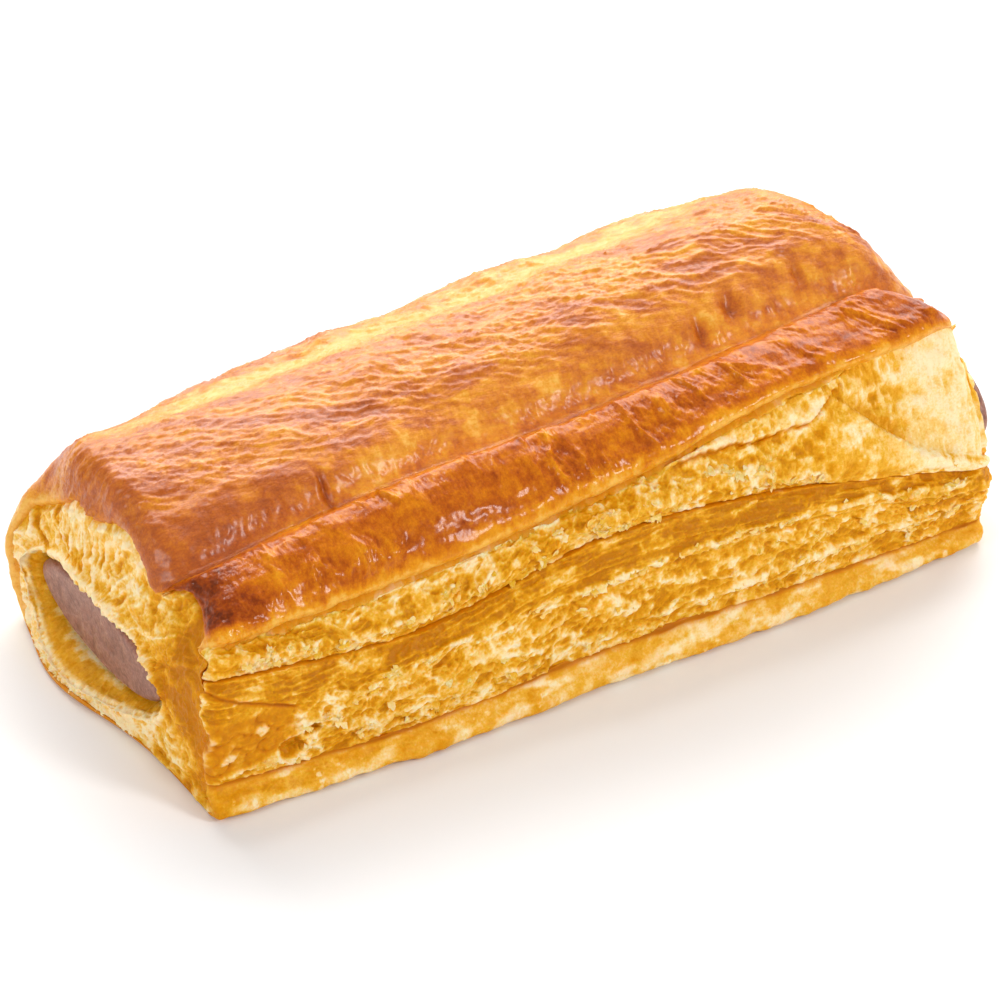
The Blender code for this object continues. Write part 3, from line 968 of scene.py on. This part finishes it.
def butter_band(smooth, ledge, bend):
    """Where the smooth buttery band below the seam shows, broken by tears, and its thin lengthwise sheets."""
    x, z = smooth[..., 0], smooth[..., 2]
    belly = smooth_ramp(x + 2.0 * bend, -46.0, -54.0) * smooth_ramp(z, 17.2, 18.4)
    band = smooth_ramp(ledge, 0.0, 0.6) * smooth_ramp(x + 3.0 * bend, -50.0, -36.0)
    tears = 1.0 - smooth_ramp(fractal(smooth, (6.0, 2.0, 2.0), 4, 0.65, seed=98), 0.34, 0.05)
    torn_share = 0.65 + 0.2 * smooth_ramp(x, 0.0, 30.0)
    below_seam = z - line_height(SEAM_Z, x) + 0.5 * bend
    sheets = ridges(plane(x * 0.07, below_seam), (1.1, 1.1, 3.0), 2, seed=99)
    return np.maximum(band, belly) * (1.0 - torn_share * tears), sheets


def shelves(smooth, ledge, low_ledge):
    """The torn shelf along the ledge line, then the lower shelf's outline and its torn height."""
    x = smooth[..., 0]
    broken = smooth_ramp(fractal(smooth, (7.0, 4.0, 4.0), 3, 0.6, seed=88), -0.25, 0.15)
    thin = 0.75 + 0.5 * noise(smooth, (5.0, 3.0, 3.0), 89)
    shelf = smooth_ramp(ledge, -1.5 * thin, -0.2) * smooth_ramp(ledge, 0.8, 0.2)
    shelf *= smooth_ramp(x, -52.0, -38.0)
    low_shelf = smooth_ramp(low_ledge, -1.3 * thin, -0.1) * smooth_ramp(low_ledge, 1.3, 0.3)
    low_shelf *= smooth_ramp(x, 0.0, 20.0)
    return shelf * broken, low_shelf, low_shelf * (0.4 + 0.6 * broken)


def glossy_corner(smooth, bend):
    """The glossy corner at the left: where it lies, its crumples and creases, its blisters and its hole."""
    x, z = smooth[..., 0], smooth[..., 2]
    low_edge = 6.2 + 0.22 * (x + 74.0) + 0.9 * bend
    glossy = smooth_ramp(x + bend, -58.5, -61.5) * smooth_ramp(z - low_edge, 0.0, 0.9)
    glossy *= smooth_ramp(z, 18.5, 16.5)
    crinkle = fractal(smooth, 1.4, 3, 0.6, seed=86)
    crumple = fractal(smooth, 3.2, 3, 0.6, seed=91)
    creases = ridges(plane(x, z + 0.5 * crumple), 3.6, 2, seed=94) ** 2
    near_x, near_z = x + 1.1 * crinkle, z + 0.9 * crinkle
    blisters = smooth_ramp(spots(near_x, near_z, CORNER_BLISTERS), 0.25, 0.8)
    hole = spot(near_x, z + 0.7 * bend, -60.5, 9.4, 2.3, 1.9) + spot(near_x, near_z, -56.5, 11.8, 1.4, 1.1)
    return glossy, crumple, creases, blisters, smooth_ramp(hole, 0.15, 0.6)


def make_lower_leaves():
    """The open side from the crease to the seam: leaves, buttery band, shelves and the glossy corner."""
    q = even_places(CREASE - 0.05, SEAM + 0.02, LOWER_STEPS[0])
    smooth = skin(q, rows_of(LOWER_STEPS[1]), torn_wrap(q, 2.8, 1.7, 93), torn_wrap(q, 2.6, 1.5, 96))
    normals = grid_normals(smooth)
    v = reach_across(smooth)
    to_seam = v[:, -1:] - v
    x, z = smooth[..., 0], smooth[..., 2]
    bend = noise(smooth, 7.0, 82) + 0.4 * noise(smooth, 2.0, 83) + 0.2 * noise(smooth, 0.8, 84)
    ledge = z - line_height(LEDGE_Z, x) - 0.7 * bend
    low_ledge = z - line_height(LOW_LEDGE_Z, x) - 0.6 * bend
    band, sheets = butter_band(smooth, ledge, bend)
    shelf, low_shelf, low_step = shelves(smooth, ledge, low_ledge)
    glossy, crumple, creases, blisters, hole = glossy_corner(smooth, bend)
    hole_rim = 4.0 * hole * (1.0 - hole)
    corner_rim = bump(from_ends(smooth) + 0.6 * bend, 3.4, 0.6) * smooth_ramp(x, -60.0, -66.0)
    strips = ridges(plane(x * 0.1, z - 0.45 * bend), (2.0, 3.4, 3.0), 1, seed=90) - 0.3
    under_ledge = smooth_ramp(ledge, -1.2, -1.8) * smooth_ramp(ledge, -5.0, -3.0)
    under_ledge *= smooth_ramp(x, -50.0, -30.0)
    fold_line = bump(z, 16.6 - 0.42 * (x + 60.0) + 0.3 * bend, 0.4) * smooth_ramp(x, -57.0, -60.0)

    height, open_gap = leaf_stack(smooth, v, 81)
    height = height * (1.0 - 0.55 * band) + (0.25 + 0.35 * sheets) * band
    height += 0.75 * shelf + 0.9 * low_step + 0.45 * smooth_ramp(x, 45.0, 62.0) * strips - 0.4 * under_ledge
    height = height * (1.0 - 0.75 * glossy) + glossy * (0.5 * crumple - 0.35 * creases)
    height += 0.5 * blisters + 0.35 * corner_rim - 1.3 * hole + 0.4 * hole_rim

    butter = leaf_tones(height, open_gap * (1.0 - band), smooth, LOWER_STEPS[0], 81)
    butter += 0.03 + (0.54 - 0.40 * sheets) * band - 0.06 * shelf - 0.12 * low_shelf
    butter += (0.3 + 0.3 * crumple) * glossy - 0.5 * blisters - 0.4 * corner_rim - 0.4 * hole_rim
    butter = np.maximum(butter, 0.85 * hole)
    toast = 0.45 * bump(v, 0.0, 0.55) + (0.5 + 0.2 * bend) * bump(to_seam, 0.1, 0.4) + 0.7 * fold_line
    toast += glossy * (0.26 + 0.5 * creases - 0.2 * crumple) * (1.0 - blisters) + 0.16 * blisters
    fade = smooth_ramp(v, 0.0, 0.5) * smooth_ramp(to_seam, 0.0, 0.5)
    height -= 0.5 * fold_line
    proud = (1.0 - band) * (1.0 - glossy)
    tones = {"butter": butter, "toast": toast}
    return finish_leaves("lower_leaves", (smooth, normals), height, fade, (92,), proud, tones)


def make_foot():
    """The base and the floury foot that shows below the crease at the front."""
    under = np.linspace(BASE_BACK - 0.02, ROUND - 0.1, 24)
    q = np.concatenate([under, ROUND + even_places(0.0, CREASE + 0.08, FOOT_STEPS[0])])
    smooth = skin(q, rows_of(FOOT_STEPS[1]), left_wrap=0.5, right_wrap=0.5)
    normals = grid_normals(smooth)
    x = smooth[..., 0]
    rise = ramp(smooth[..., 2], 0.0, 1.2) * (q >= ROUND)
    lumps = fractal(smooth, (8.0, 5.0, 3.0), 3, 0.6, seed=101)
    wavy = fractal(smooth, (3.0, 2.0, 2.0), 3, seed=104)
    specks = smooth_ramp(fractal(smooth, (1.8, 1.3, 1.3), 3, 0.6, seed=103), 0.22, 0.42)
    specks *= smooth_ramp(fractal(smooth, 7.0, 2, seed=108), -0.2, 0.3)
    height = (0.9 * lumps + 0.14 * specks + 0.20 * wavy + 0.5 * bump(q - ROUND, 0.9, 0.7)) * rise
    butter = 0.44 + 0.12 * ramp(x, -20.0, -60.0) - 0.44 * specks + 0.1 * wavy
    butter += 0.34 * fractal(smooth, 6.0, 3, seed=105) + 0.3 * fractal(smooth, 1.6, 3, 0.7, seed=107)
    butter -= 0.34 * smooth_ramp(fractal(smooth, (10.0, 3.0, 3.0), 3, seed=106), 0.05, 0.35)
    toast = np.clip(0.04 + 0.25 * lumps + 0.6 * bump(q - ROUND, CREASE, 0.16), 0.0, 1.0)
    toast = toast * rise + 0.45 * (1.0 - rise)
    outer = raised(smooth, normals, height)
    return bar("foot_and_base", outer, core_behind(smooth, normals, FOOT_CORE, 9),
               {"butter": butter, "toast": toast}, leaves)


ACROSS_ROWS = 84
TUNNEL_ROWS = 23
TUNNEL_DEPTH = 7.0
RING_DEPTH = 5.0

# Buttery and pale places on the left end: centre y, centre z, width y, width z, strength
LEFT_END_BUTTER = (
    (-28.0, 26.0, 8.0, 10.0, 1.25),
    (-17.0, 15.0, 6.0, 5.0, 0.35),
    (2.0, 31.0, 14.0, 8.0, -0.14),
    (-31.0, 9.0, 8.0, 8.0, 0.5),
)


def end_grid(q, t):
    """The smooth grid of a cut end: rows cross its face from the skin to the mouth, then line the tunnel.

    Also gives each row's share of the way to the mouth and into the tunnel, and the face's width at each q.
    """
    start = section(q, np.full(q.shape, t))
    arms = start - sausage_centre(t)
    half_size = np.ptp(start, axis=0) / 2
    angle = np.arctan2(arms[:, 1] / half_size[1], arms[:, 0] / half_size[0])
    circle = np.stack([np.cos(angle), np.sin(angle)], axis=-1)

    def round_sausage(station, flare):
        return sausage_centre(station) + (sausage_half_sizes(station) + SAUSAGE_GAP + flare) * circle

    mouth = round_sausage(t, MOUTH_FLARE)
    inset = edge_radius(q, t)[:, None] + 0.1
    outside = start - arms / np.linalg.norm(arms, axis=-1, keepdims=True) * inset
    share = np.linspace(0.0, 1.0, ACROSS_ROWS)
    face = at_station(outside + (mouth - outside) * share[:, None, None], t)
    depth = np.linspace(0.0, TUNNEL_DEPTH, TUNNEL_ROWS + 1)[1:]
    stations = np.abs(t - depth / LENGTH)
    flares = MOUTH_FLARE * np.maximum(1.0 - depth / FLARE_DEPTH, 0.0) ** 2
    wall = [at_station(round_sausage(station, flare), station) for station, flare in zip(stations, flares)]
    inward = np.concatenate([share, np.ones(TUNNEL_ROWS)])[:, None]
    in_tunnel = np.concatenate([0.0 * share, np.linspace(0.0, 1.0, TUNNEL_ROWS)])[:, None]
    return np.concatenate([face, np.array(wall)]), inward, in_tunnel, np.linalg.norm(mouth - outside, axis=-1)


def close_ring(name, outer, smooth, side, tones):
    """A closed ring: the carved grid in front and two hidden rows some millimetres behind its face."""
    behind = np.array([side * RING_DEPTH, 0.0, 0.0])
    inner_side = smooth[-1] + (smooth[0] - smooth[-1]) * 0.45 - behind
    outer_side = smooth[0] + (smooth[-1] - smooth[0]) * 0.12 - behind
    points = np.concatenate([outer, inner_side[None], outer_side[None]])
    quads = wrapped_quads(*points.shape[:2], closed=True)
    if side < 0:
        quads = quads[:, ::-1]
    spread = {}
    for tone, values in tones.items():
        values = np.clip(values, 0.0, 1.0)
        spread[tone] = np.pad(values, ((0, 2), (0, 0)), mode="edge").ravel()
    return make_object(name, points.reshape(-1, 3), quads.tolist(), spread, leaves)


def end_ring(name, t, side, seed):
    """The cut end: fibres, strands and cavities drawn out from the mouth, torn plates and a ragged frill.

    The face sinks where a crust reaches over it, and the left end is buttery towards the front.
    """
    q = even_places(0.0, ROUND, END_STEP)[:-1]
    smooth, inward, in_tunnel, width = end_grid(q, np.float64(t))
    closed = np.concatenate([smooth[:, -1:], smooth, smooth[:, :1]], axis=1)
    normals = side * grid_normals(closed)[:, 1:-1]
    y, z = smooth[..., 1], smooth[..., 2]
    hub_y, hub_z = sausage_centre(np.float64(t))
    radial = np.hypot(y - hub_y, z - hub_z)
    turn = np.arctan2(z - hub_z, y - hub_y)
    bend = fractal(smooth, 8.0, 2, seed=seed)
    rough = smooth_ramp(fractal(smooth, 8.0, 2, seed=seed + 11), -0.3, 0.3)
    pulled = plane(turn * 17.0 + bend * 3.0, radial * 0.25)
    fibres = ridges(pulled, (1.7, 1.7, 3.0), 3, 0.65, seed=seed + 2) - 0.3
    shells = ridges(plane(turn * 2.2, radial + 1.6 * bend), (1.9, 1.9, 3.0), 2, seed=seed + 7) ** 1.5
    strands = ridges(plane(turn * 15.0 + 2.0 * bend, radial * 0.12), 1.6, 2, seed=seed + 23)
    cavity = smooth_ramp(noise(plane(turn * 15.0 + 1.5 * bend, radial * 0.4), 2.2, seed + 15), 0.38, 0.62)
    plates, rim = torn_plates(y + 1.5 * bend, z + 1.5 * bend, (5.5, 6.5), 0.55, seed + 4)
    small, _ = torn_plates(y, z, (2.2, 3.0), 0.3, seed + 8)
    webs = ridges(plane(y + 2.0 * bend, z * 0.7 + bend), 3.6, 1, seed=seed + 6) ** 2
    frill = bump(inward + 0.02 * noise(smooth, 1.5, seed + 12), 0.95, 0.05) * (in_tunnel < 0.1)
    inner_frill = ridges(plane(turn * 14.0, 0.0), (1.0, 1.0, 3.0), 2, seed=seed + 18) - 0.4
    reach = crust_reach(q, side)
    under_crust = smooth_ramp(inward * width, reach + 1.2, reach - 0.8)

    height = 0.65 * fibres * (0.4 + 0.6 * rough) + 0.26 * plates + 0.18 * rim + 0.16 * small * rough - 0.5
    height += 0.8 * fractal(smooth, 4.5, 3, seed=seed + 9) + 0.07 * fractal(smooth, 0.8, 2, seed=seed + 10)
    height += 0.3 * webs + 0.2 * shells - 1.6 * cavity * inward * (1.0 - inward)
    height = (height * (1.0 - 0.8 * under_crust) - under_crust) * (1.0 - in_tunnel)
    height += frill * (0.7 + 0.5 * noise(smooth, 1.8, seed + 21))
    height *= smooth_ramp(z, 0.0, 1.5)

    proud = np.clip((height - blur(height, 4, 4)) / 0.3, -1.0, 1.0)
    broad = fractal(smooth, 9.0, 3, seed=seed + 14)
    cream = smooth_ramp(fractal(smooth, 4.0, 4, 0.65, seed=seed + 16), -0.05, 0.2)
    freckles = fractal(smooth, 0.9, 2, 0.7, seed=seed + 17)
    # Partly painted light and shade: proud points paler, the sunken cavities deeper gold.
    butter = 0.49 - 0.16 * proud + 0.26 * broad - 0.22 * cream + 0.3 * cavity + 0.2 * freckles - 0.3 * frill
    toast = 0.0 * y
    if side < 0:
        jaw = smooth_ramp(z, 12.0, 3.0) * smooth_ramp(y, -24.0, -10.0)
        butter += spots(y, z, LEFT_END_BUTTER) - 0.5 * jaw * (0.5 + 0.5 * cream)
        toast = (0.6 + 0.3 * bend) * spot(y, z, -34.0, 12.0, 3.4, 7.0)
    butter = np.clip(butter, 0.0, 1.0) - 0.45 * (strands - 0.2)
    deep = smooth_ramp(in_tunnel, 0.0, 0.2) * smooth_ramp(in_tunnel, 0.75, 0.5)
    tatters = smooth_ramp(noise(smooth, (6.0, 2.5, 2.5), seed + 19), 0.0, 0.3)
    tatters *= smooth_ramp(in_tunnel, 0.25, 0.5)
    lining = 0.10 + 0.48 * deep * (1.0 - 0.7 * tatters) + 0.2 * freckles
    height += 0.35 * (strands - 0.3) * (1.0 - in_tunnel) + 0.3 * in_tunnel * inner_frill
    return close_ring(name, raised(smooth, normals, height), smooth, side,
                      {"butter": np.where(in_tunnel > 0.0, lining, butter), "toast": toast})


FLAKE_COUNT = 160
FLAKE_MARGIN = (slice(30, -30), slice(6, -6))
FLAKE_HALF_THICK = 0.05


def make_flakes(name, surfaces, count, seed):
    """Small curled flakes of pastry that stand off the open leaves, each a thin closed sheet.

    A flake's width is an arc: it leaves the surface at one angle and turns evenly to another. Its length is
    straight and its ends taper. Flakes grow from random points, more often from the proud ones.
    """
    dice = np.random.default_rng(seed)
    around, across = 6, 4
    feet, outs, runs = [], [], []
    for outer, normals, proud in surfaces:
        keep = np.zeros(outer.shape[:2])
        keep[FLAKE_MARGIN] = np.clip(proud[FLAKE_MARGIN] - 0.08, 0.0, 0.6)
        chance = (keep / keep.sum()).ravel()
        chosen = dice.choice(keep.size, count, replace=False, p=chance)
        feet.append(outer.reshape(-1, 3)[chosen])
        outs.append(normals.reshape(-1, 3)[chosen])
        runs.append(np.gradient(outer, axis=0).reshape(-1, 3)[chosen])
    foot, out, run = (np.concatenate(parts)[:, None, None] for parts in (feet, outs, runs))
    total = len(foot)

    def draw_between(low, high):
        return dice.uniform(low, high, (total, 1, 1, 1))

    run = run - out * np.sum(run * out, axis=-1, keepdims=True)
    run /= np.linalg.norm(run, axis=-1, keepdims=True)
    side = np.cross(out, run)
    spin = np.radians(draw_between(-35.0, 35.0))
    run, side = run * np.cos(spin) + side * np.sin(spin), side * np.cos(spin) - run * np.sin(spin)
    side = side * np.where(draw_between(0.0, 1.0) > 0.35, -1.0, 1.0)
    run = np.cross(side, out)
    length = 0.3 + 0.9 * draw_between(0.0, 1.0) ** 1.4
    width = 0.4 + 0.9 * draw_between(0.0, 1.0) ** 1.5
    s = np.linspace(-1.0, 1.0, around)[None, None, :, None]
    w = np.linspace(0.0, 1.0, across)[None, :, None, None]
    first = np.radians(draw_between(0.0, 22.0))
    turn = np.radians(draw_between(-70.0, 70.0))
    turn = np.where(np.abs(turn) < 0.1, 0.1, turn)
    angle = first + turn * w
    taper = 1.0 - 0.35 * s ** 2 + 0.22 * dice.normal(size=(total, 1, around, 1))
    arc = width * np.clip(taper, 0.15, 1.4)
    flat_way = arc * (np.sin(angle) - np.sin(first)) / turn
    up_way = arc * (np.cos(first) - np.cos(angle)) / turn
    sheet = foot + run * (s * length) + side * flat_way + out * (up_way - 0.12)
    sheet = sheet + out * 0.05 * dice.normal(size=(total, 1, around, 1))
    facing = out * np.cos(angle) - side * np.sin(angle)
    half = FLAKE_HALF_THICK * (1.0 - 0.6 * w)
    points = np.stack([sheet + facing * half, sheet - facing * half], axis=1)
    grid = np.arange(across * around).reshape(across, around)
    top = np.stack([grid[:-1, :-1], grid[:-1, 1:], grid[1:, 1:], grid[1:, :-1]], axis=-1).reshape(-1, 4)
    rim = np.concatenate([grid[0, :-1], grid[:-1, -1], grid[-1, :0:-1], grid[:0:-1, 0]])
    after = np.roll(rim, -1)
    under = across * around
    wall = np.stack([rim, rim + under, after + under, after], axis=-1)
    faces = np.concatenate([top, top[:, ::-1] + under, wall])
    faces = (faces[None] + (np.arange(total) * 2 * under)[:, None, None]).reshape(-1, 4)
    tone = np.broadcast_to(draw_between(0.2, 0.55) - 0.15 * w, (total, across, around, 1))
    butter = np.clip(np.stack([tone, tone], axis=1), 0.0, 1.0).ravel()
    tones = {"butter": butter, "toast": butter * 0.0}
    return make_object(name, points.reshape(-1, 3), faces.tolist(), tones, leaves)


GRAIN_COLUMNS = 300
FACE_ROWS = 60
BODY_ROWS = 60
RIM_START = 0.86


def make_sausage():
    """The sausage: ellipses lofted along the roll with rounded end rims and grainy end faces.

    Each row is an ellipse set by the sausage's centre and half sizes, and the end rows shrink to a point.
    """
    angle = np.linspace(0.0, 2.0 * np.pi, GRAIN_COLUMNS, endpoint=False)
    circle = np.stack([np.cos(angle), np.sin(angle)], axis=-1)
    shrink = np.sin(np.linspace(0.0, 0.5 * np.pi, FACE_ROWS + 1))[1:-1]
    back = SAUSAGE_ROUND * (1.0 - np.sqrt(1.0 - ramp(shrink, RIM_START, 1.0) ** 2))
    back = np.append(back, SAUSAGE_ROUND)
    x_left = SAUSAGE_LEFT_X + back
    x_right = SAUSAGE_RIGHT_X - back
    x = np.concatenate([x_left[:-1], np.linspace(x_left[-1], x_right[-1], BODY_ROWS), x_right[-2::-1]])
    scale = np.concatenate([shrink, np.ones(BODY_ROWS), shrink[::-1]])
    t = ramp(x, SAUSAGE_LEFT_X, SAUSAGE_RIGHT_X)[:, None]
    yz = sausage_centre(t) + sausage_half_sizes(t) * circle * scale[:, None, None]
    points = plane(x[:, None], yz[..., 0], yz[..., 1])
    closed = np.concatenate([points[:, -1:], points, points[:, :1]], axis=1)
    normals = -grid_normals(closed)[:, 1:-1]
    chunks = fractal(points, 2.2, 3, 0.6, seed=301)
    grains = fractal(points, 0.7, 2, 0.6, seed=303)
    points = raised(points, normals, 0.14 * chunks + 0.05 * grains - 0.1)
    poles = np.array([points[0].mean(axis=0), points[-1].mean(axis=0)])
    rows, columns = points.shape[:2]
    faces = wrapped_quads(rows, columns)[:, [0, 3, 2, 1]].tolist()
    column = np.arange(columns)
    beside = (column + 1) % columns
    first_pole = np.full_like(column, rows * columns)
    last = (rows - 1) * columns
    faces += np.stack([beside, column, first_pole], axis=-1).tolist()
    faces += np.stack([last + column, last + beside, first_pole + 1], axis=-1).tolist()
    points = np.concatenate([points.reshape(-1, 3), poles])
    return make_object("sausage_meat", points, faces, {"chunks": np.pad(chunks.ravel(), (0, 2))}, meat)


pieces = [
    (make_crown(), "pastry"),
    (make_lip(), "pastry"),
    (make_upper_leaves(), "pastry"),
    (make_lower_leaves(), "pastry"),
    (make_foot(), "pastry"),
    (end_ring("left_end", 0.0, -1, 121), "pastry"),
    (end_ring("right_end", 1.0, 1, 141), "pastry"),
    (make_sausage(), "sausage"),
]
flaky = (carved["upper_leaves"], carved["lower_leaves"])
pieces.append((make_flakes("leaf_flakes", flaky, FLAKE_COUNT, 401), "pastry"))

for piece, slot in pieces:
    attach(piece, "root")
    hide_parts(slot)

# ---------------------------------------------------------------- stage, light and camera

def flat_material(name, colour, roughness):
    """A plain material for the stage."""
    nodes = Nodes(name)
    nodes.shader.inputs["Base Color"].default_value = (*colour, 1.0)
    nodes.shader.inputs["Roughness"].default_value = roughness
    return nodes.material


floor_mesh = bpy.data.meshes.new("floor")
FLOOR_HALF = 3.0
floor_mesh.from_pydata([(-FLOOR_HALF, -FLOOR_HALF, 0.0), (FLOOR_HALF, -FLOOR_HALF, 0.0),
                        (FLOOR_HALF, FLOOR_HALF, 0.0), (-FLOOR_HALF, FLOOR_HALF, 0.0)], [], [(0, 1, 2, 3)])
floor_mesh.materials.append(flat_material("pale_floor", (0.9, 0.9, 0.9), 0.6))
floor = bpy.data.objects.new("floor", floor_mesh)
bpy.context.scene.collection.objects.link(floor)


def softbox(name, azimuth, elevation, distance, size, power, colour=(1.0, 1.0, 1.0)):
    """A rectangular area light aimed at the roll from a direction: azimuth 0 is the front, 90 the right."""
    lamp = bpy.data.lights.new(name, "AREA")
    lamp.shape = "RECTANGLE"
    lamp.size, lamp.size_y = size
    lamp.energy = power
    lamp.color = colour
    light = bpy.data.objects.new(name, lamp)
    a, e = np.radians(azimuth), np.radians(elevation)
    light.location = distance * Vector((np.sin(a) * np.cos(e), -np.cos(a) * np.cos(e), np.sin(e)))
    light.rotation_euler = light.location.to_track_quat("Z", "Y").to_euler()
    bpy.context.scene.collection.objects.link(light)
    return light


WORLD_STRENGTH = 0.44
softbox("back_window", 150.0, 35.0, 1.4, (1.7, 0.9), 27.5, (1.0, 0.98, 0.96))
softbox("front_box", 28.0, 33.0, 1.2, (0.25, 0.25), 5.6)
softbox("left_box", -80.0, 24.0, 1.3, (0.4, 0.4), 4.8)
softbox("glint_box", 178.0, 68.0, 1.2, (0.16, 0.16), 1.5)

world = bpy.data.worlds.new("bright_room")
world.use_nodes = True
world.node_tree.nodes["Background"].inputs["Color"].default_value = (1.0, 1.0, 1.0, 1.0)
world.node_tree.nodes["Background"].inputs["Strength"].default_value = WORLD_STRENGTH
bpy.context.scene.world = world

bpy.context.scene.view_settings.view_transform = "Standard"
bpy.context.scene.view_settings.look = "None"

CAMERA_AZIMUTH = -30.43
CAMERA_ELEVATION = 34.10
CAMERA_DISTANCE = 1.0
CAMERA_LENS = 212.66
LOOK_AT = np.array([0.0, 0.0, 22.0])
FRAME_DROP = 5.73

a, e = np.radians(CAMERA_AZIMUTH), np.radians(CAMERA_ELEVATION)
towards = np.array([np.sin(a) * np.cos(e), -np.cos(a) * np.cos(e), np.sin(e)])
upwards = np.array([-np.sin(a) * np.sin(e), np.cos(a) * np.sin(e), np.cos(e)])
target = (LOOK_AT + SHIFT) * MM
camera_data = bpy.data.cameras.new("camera")
camera_data.lens = CAMERA_LENS
camera = bpy.data.objects.new("camera", camera_data)
camera.location = Vector(target + towards * CAMERA_DISTANCE)
aim = Vector(target - upwards * FRAME_DROP * MM)
camera.rotation_euler = (camera.location - aim).to_track_quat("Z", "Y").to_euler()
bpy.context.scene.collection.objects.link(camera)
bpy.context.scene.camera = camera
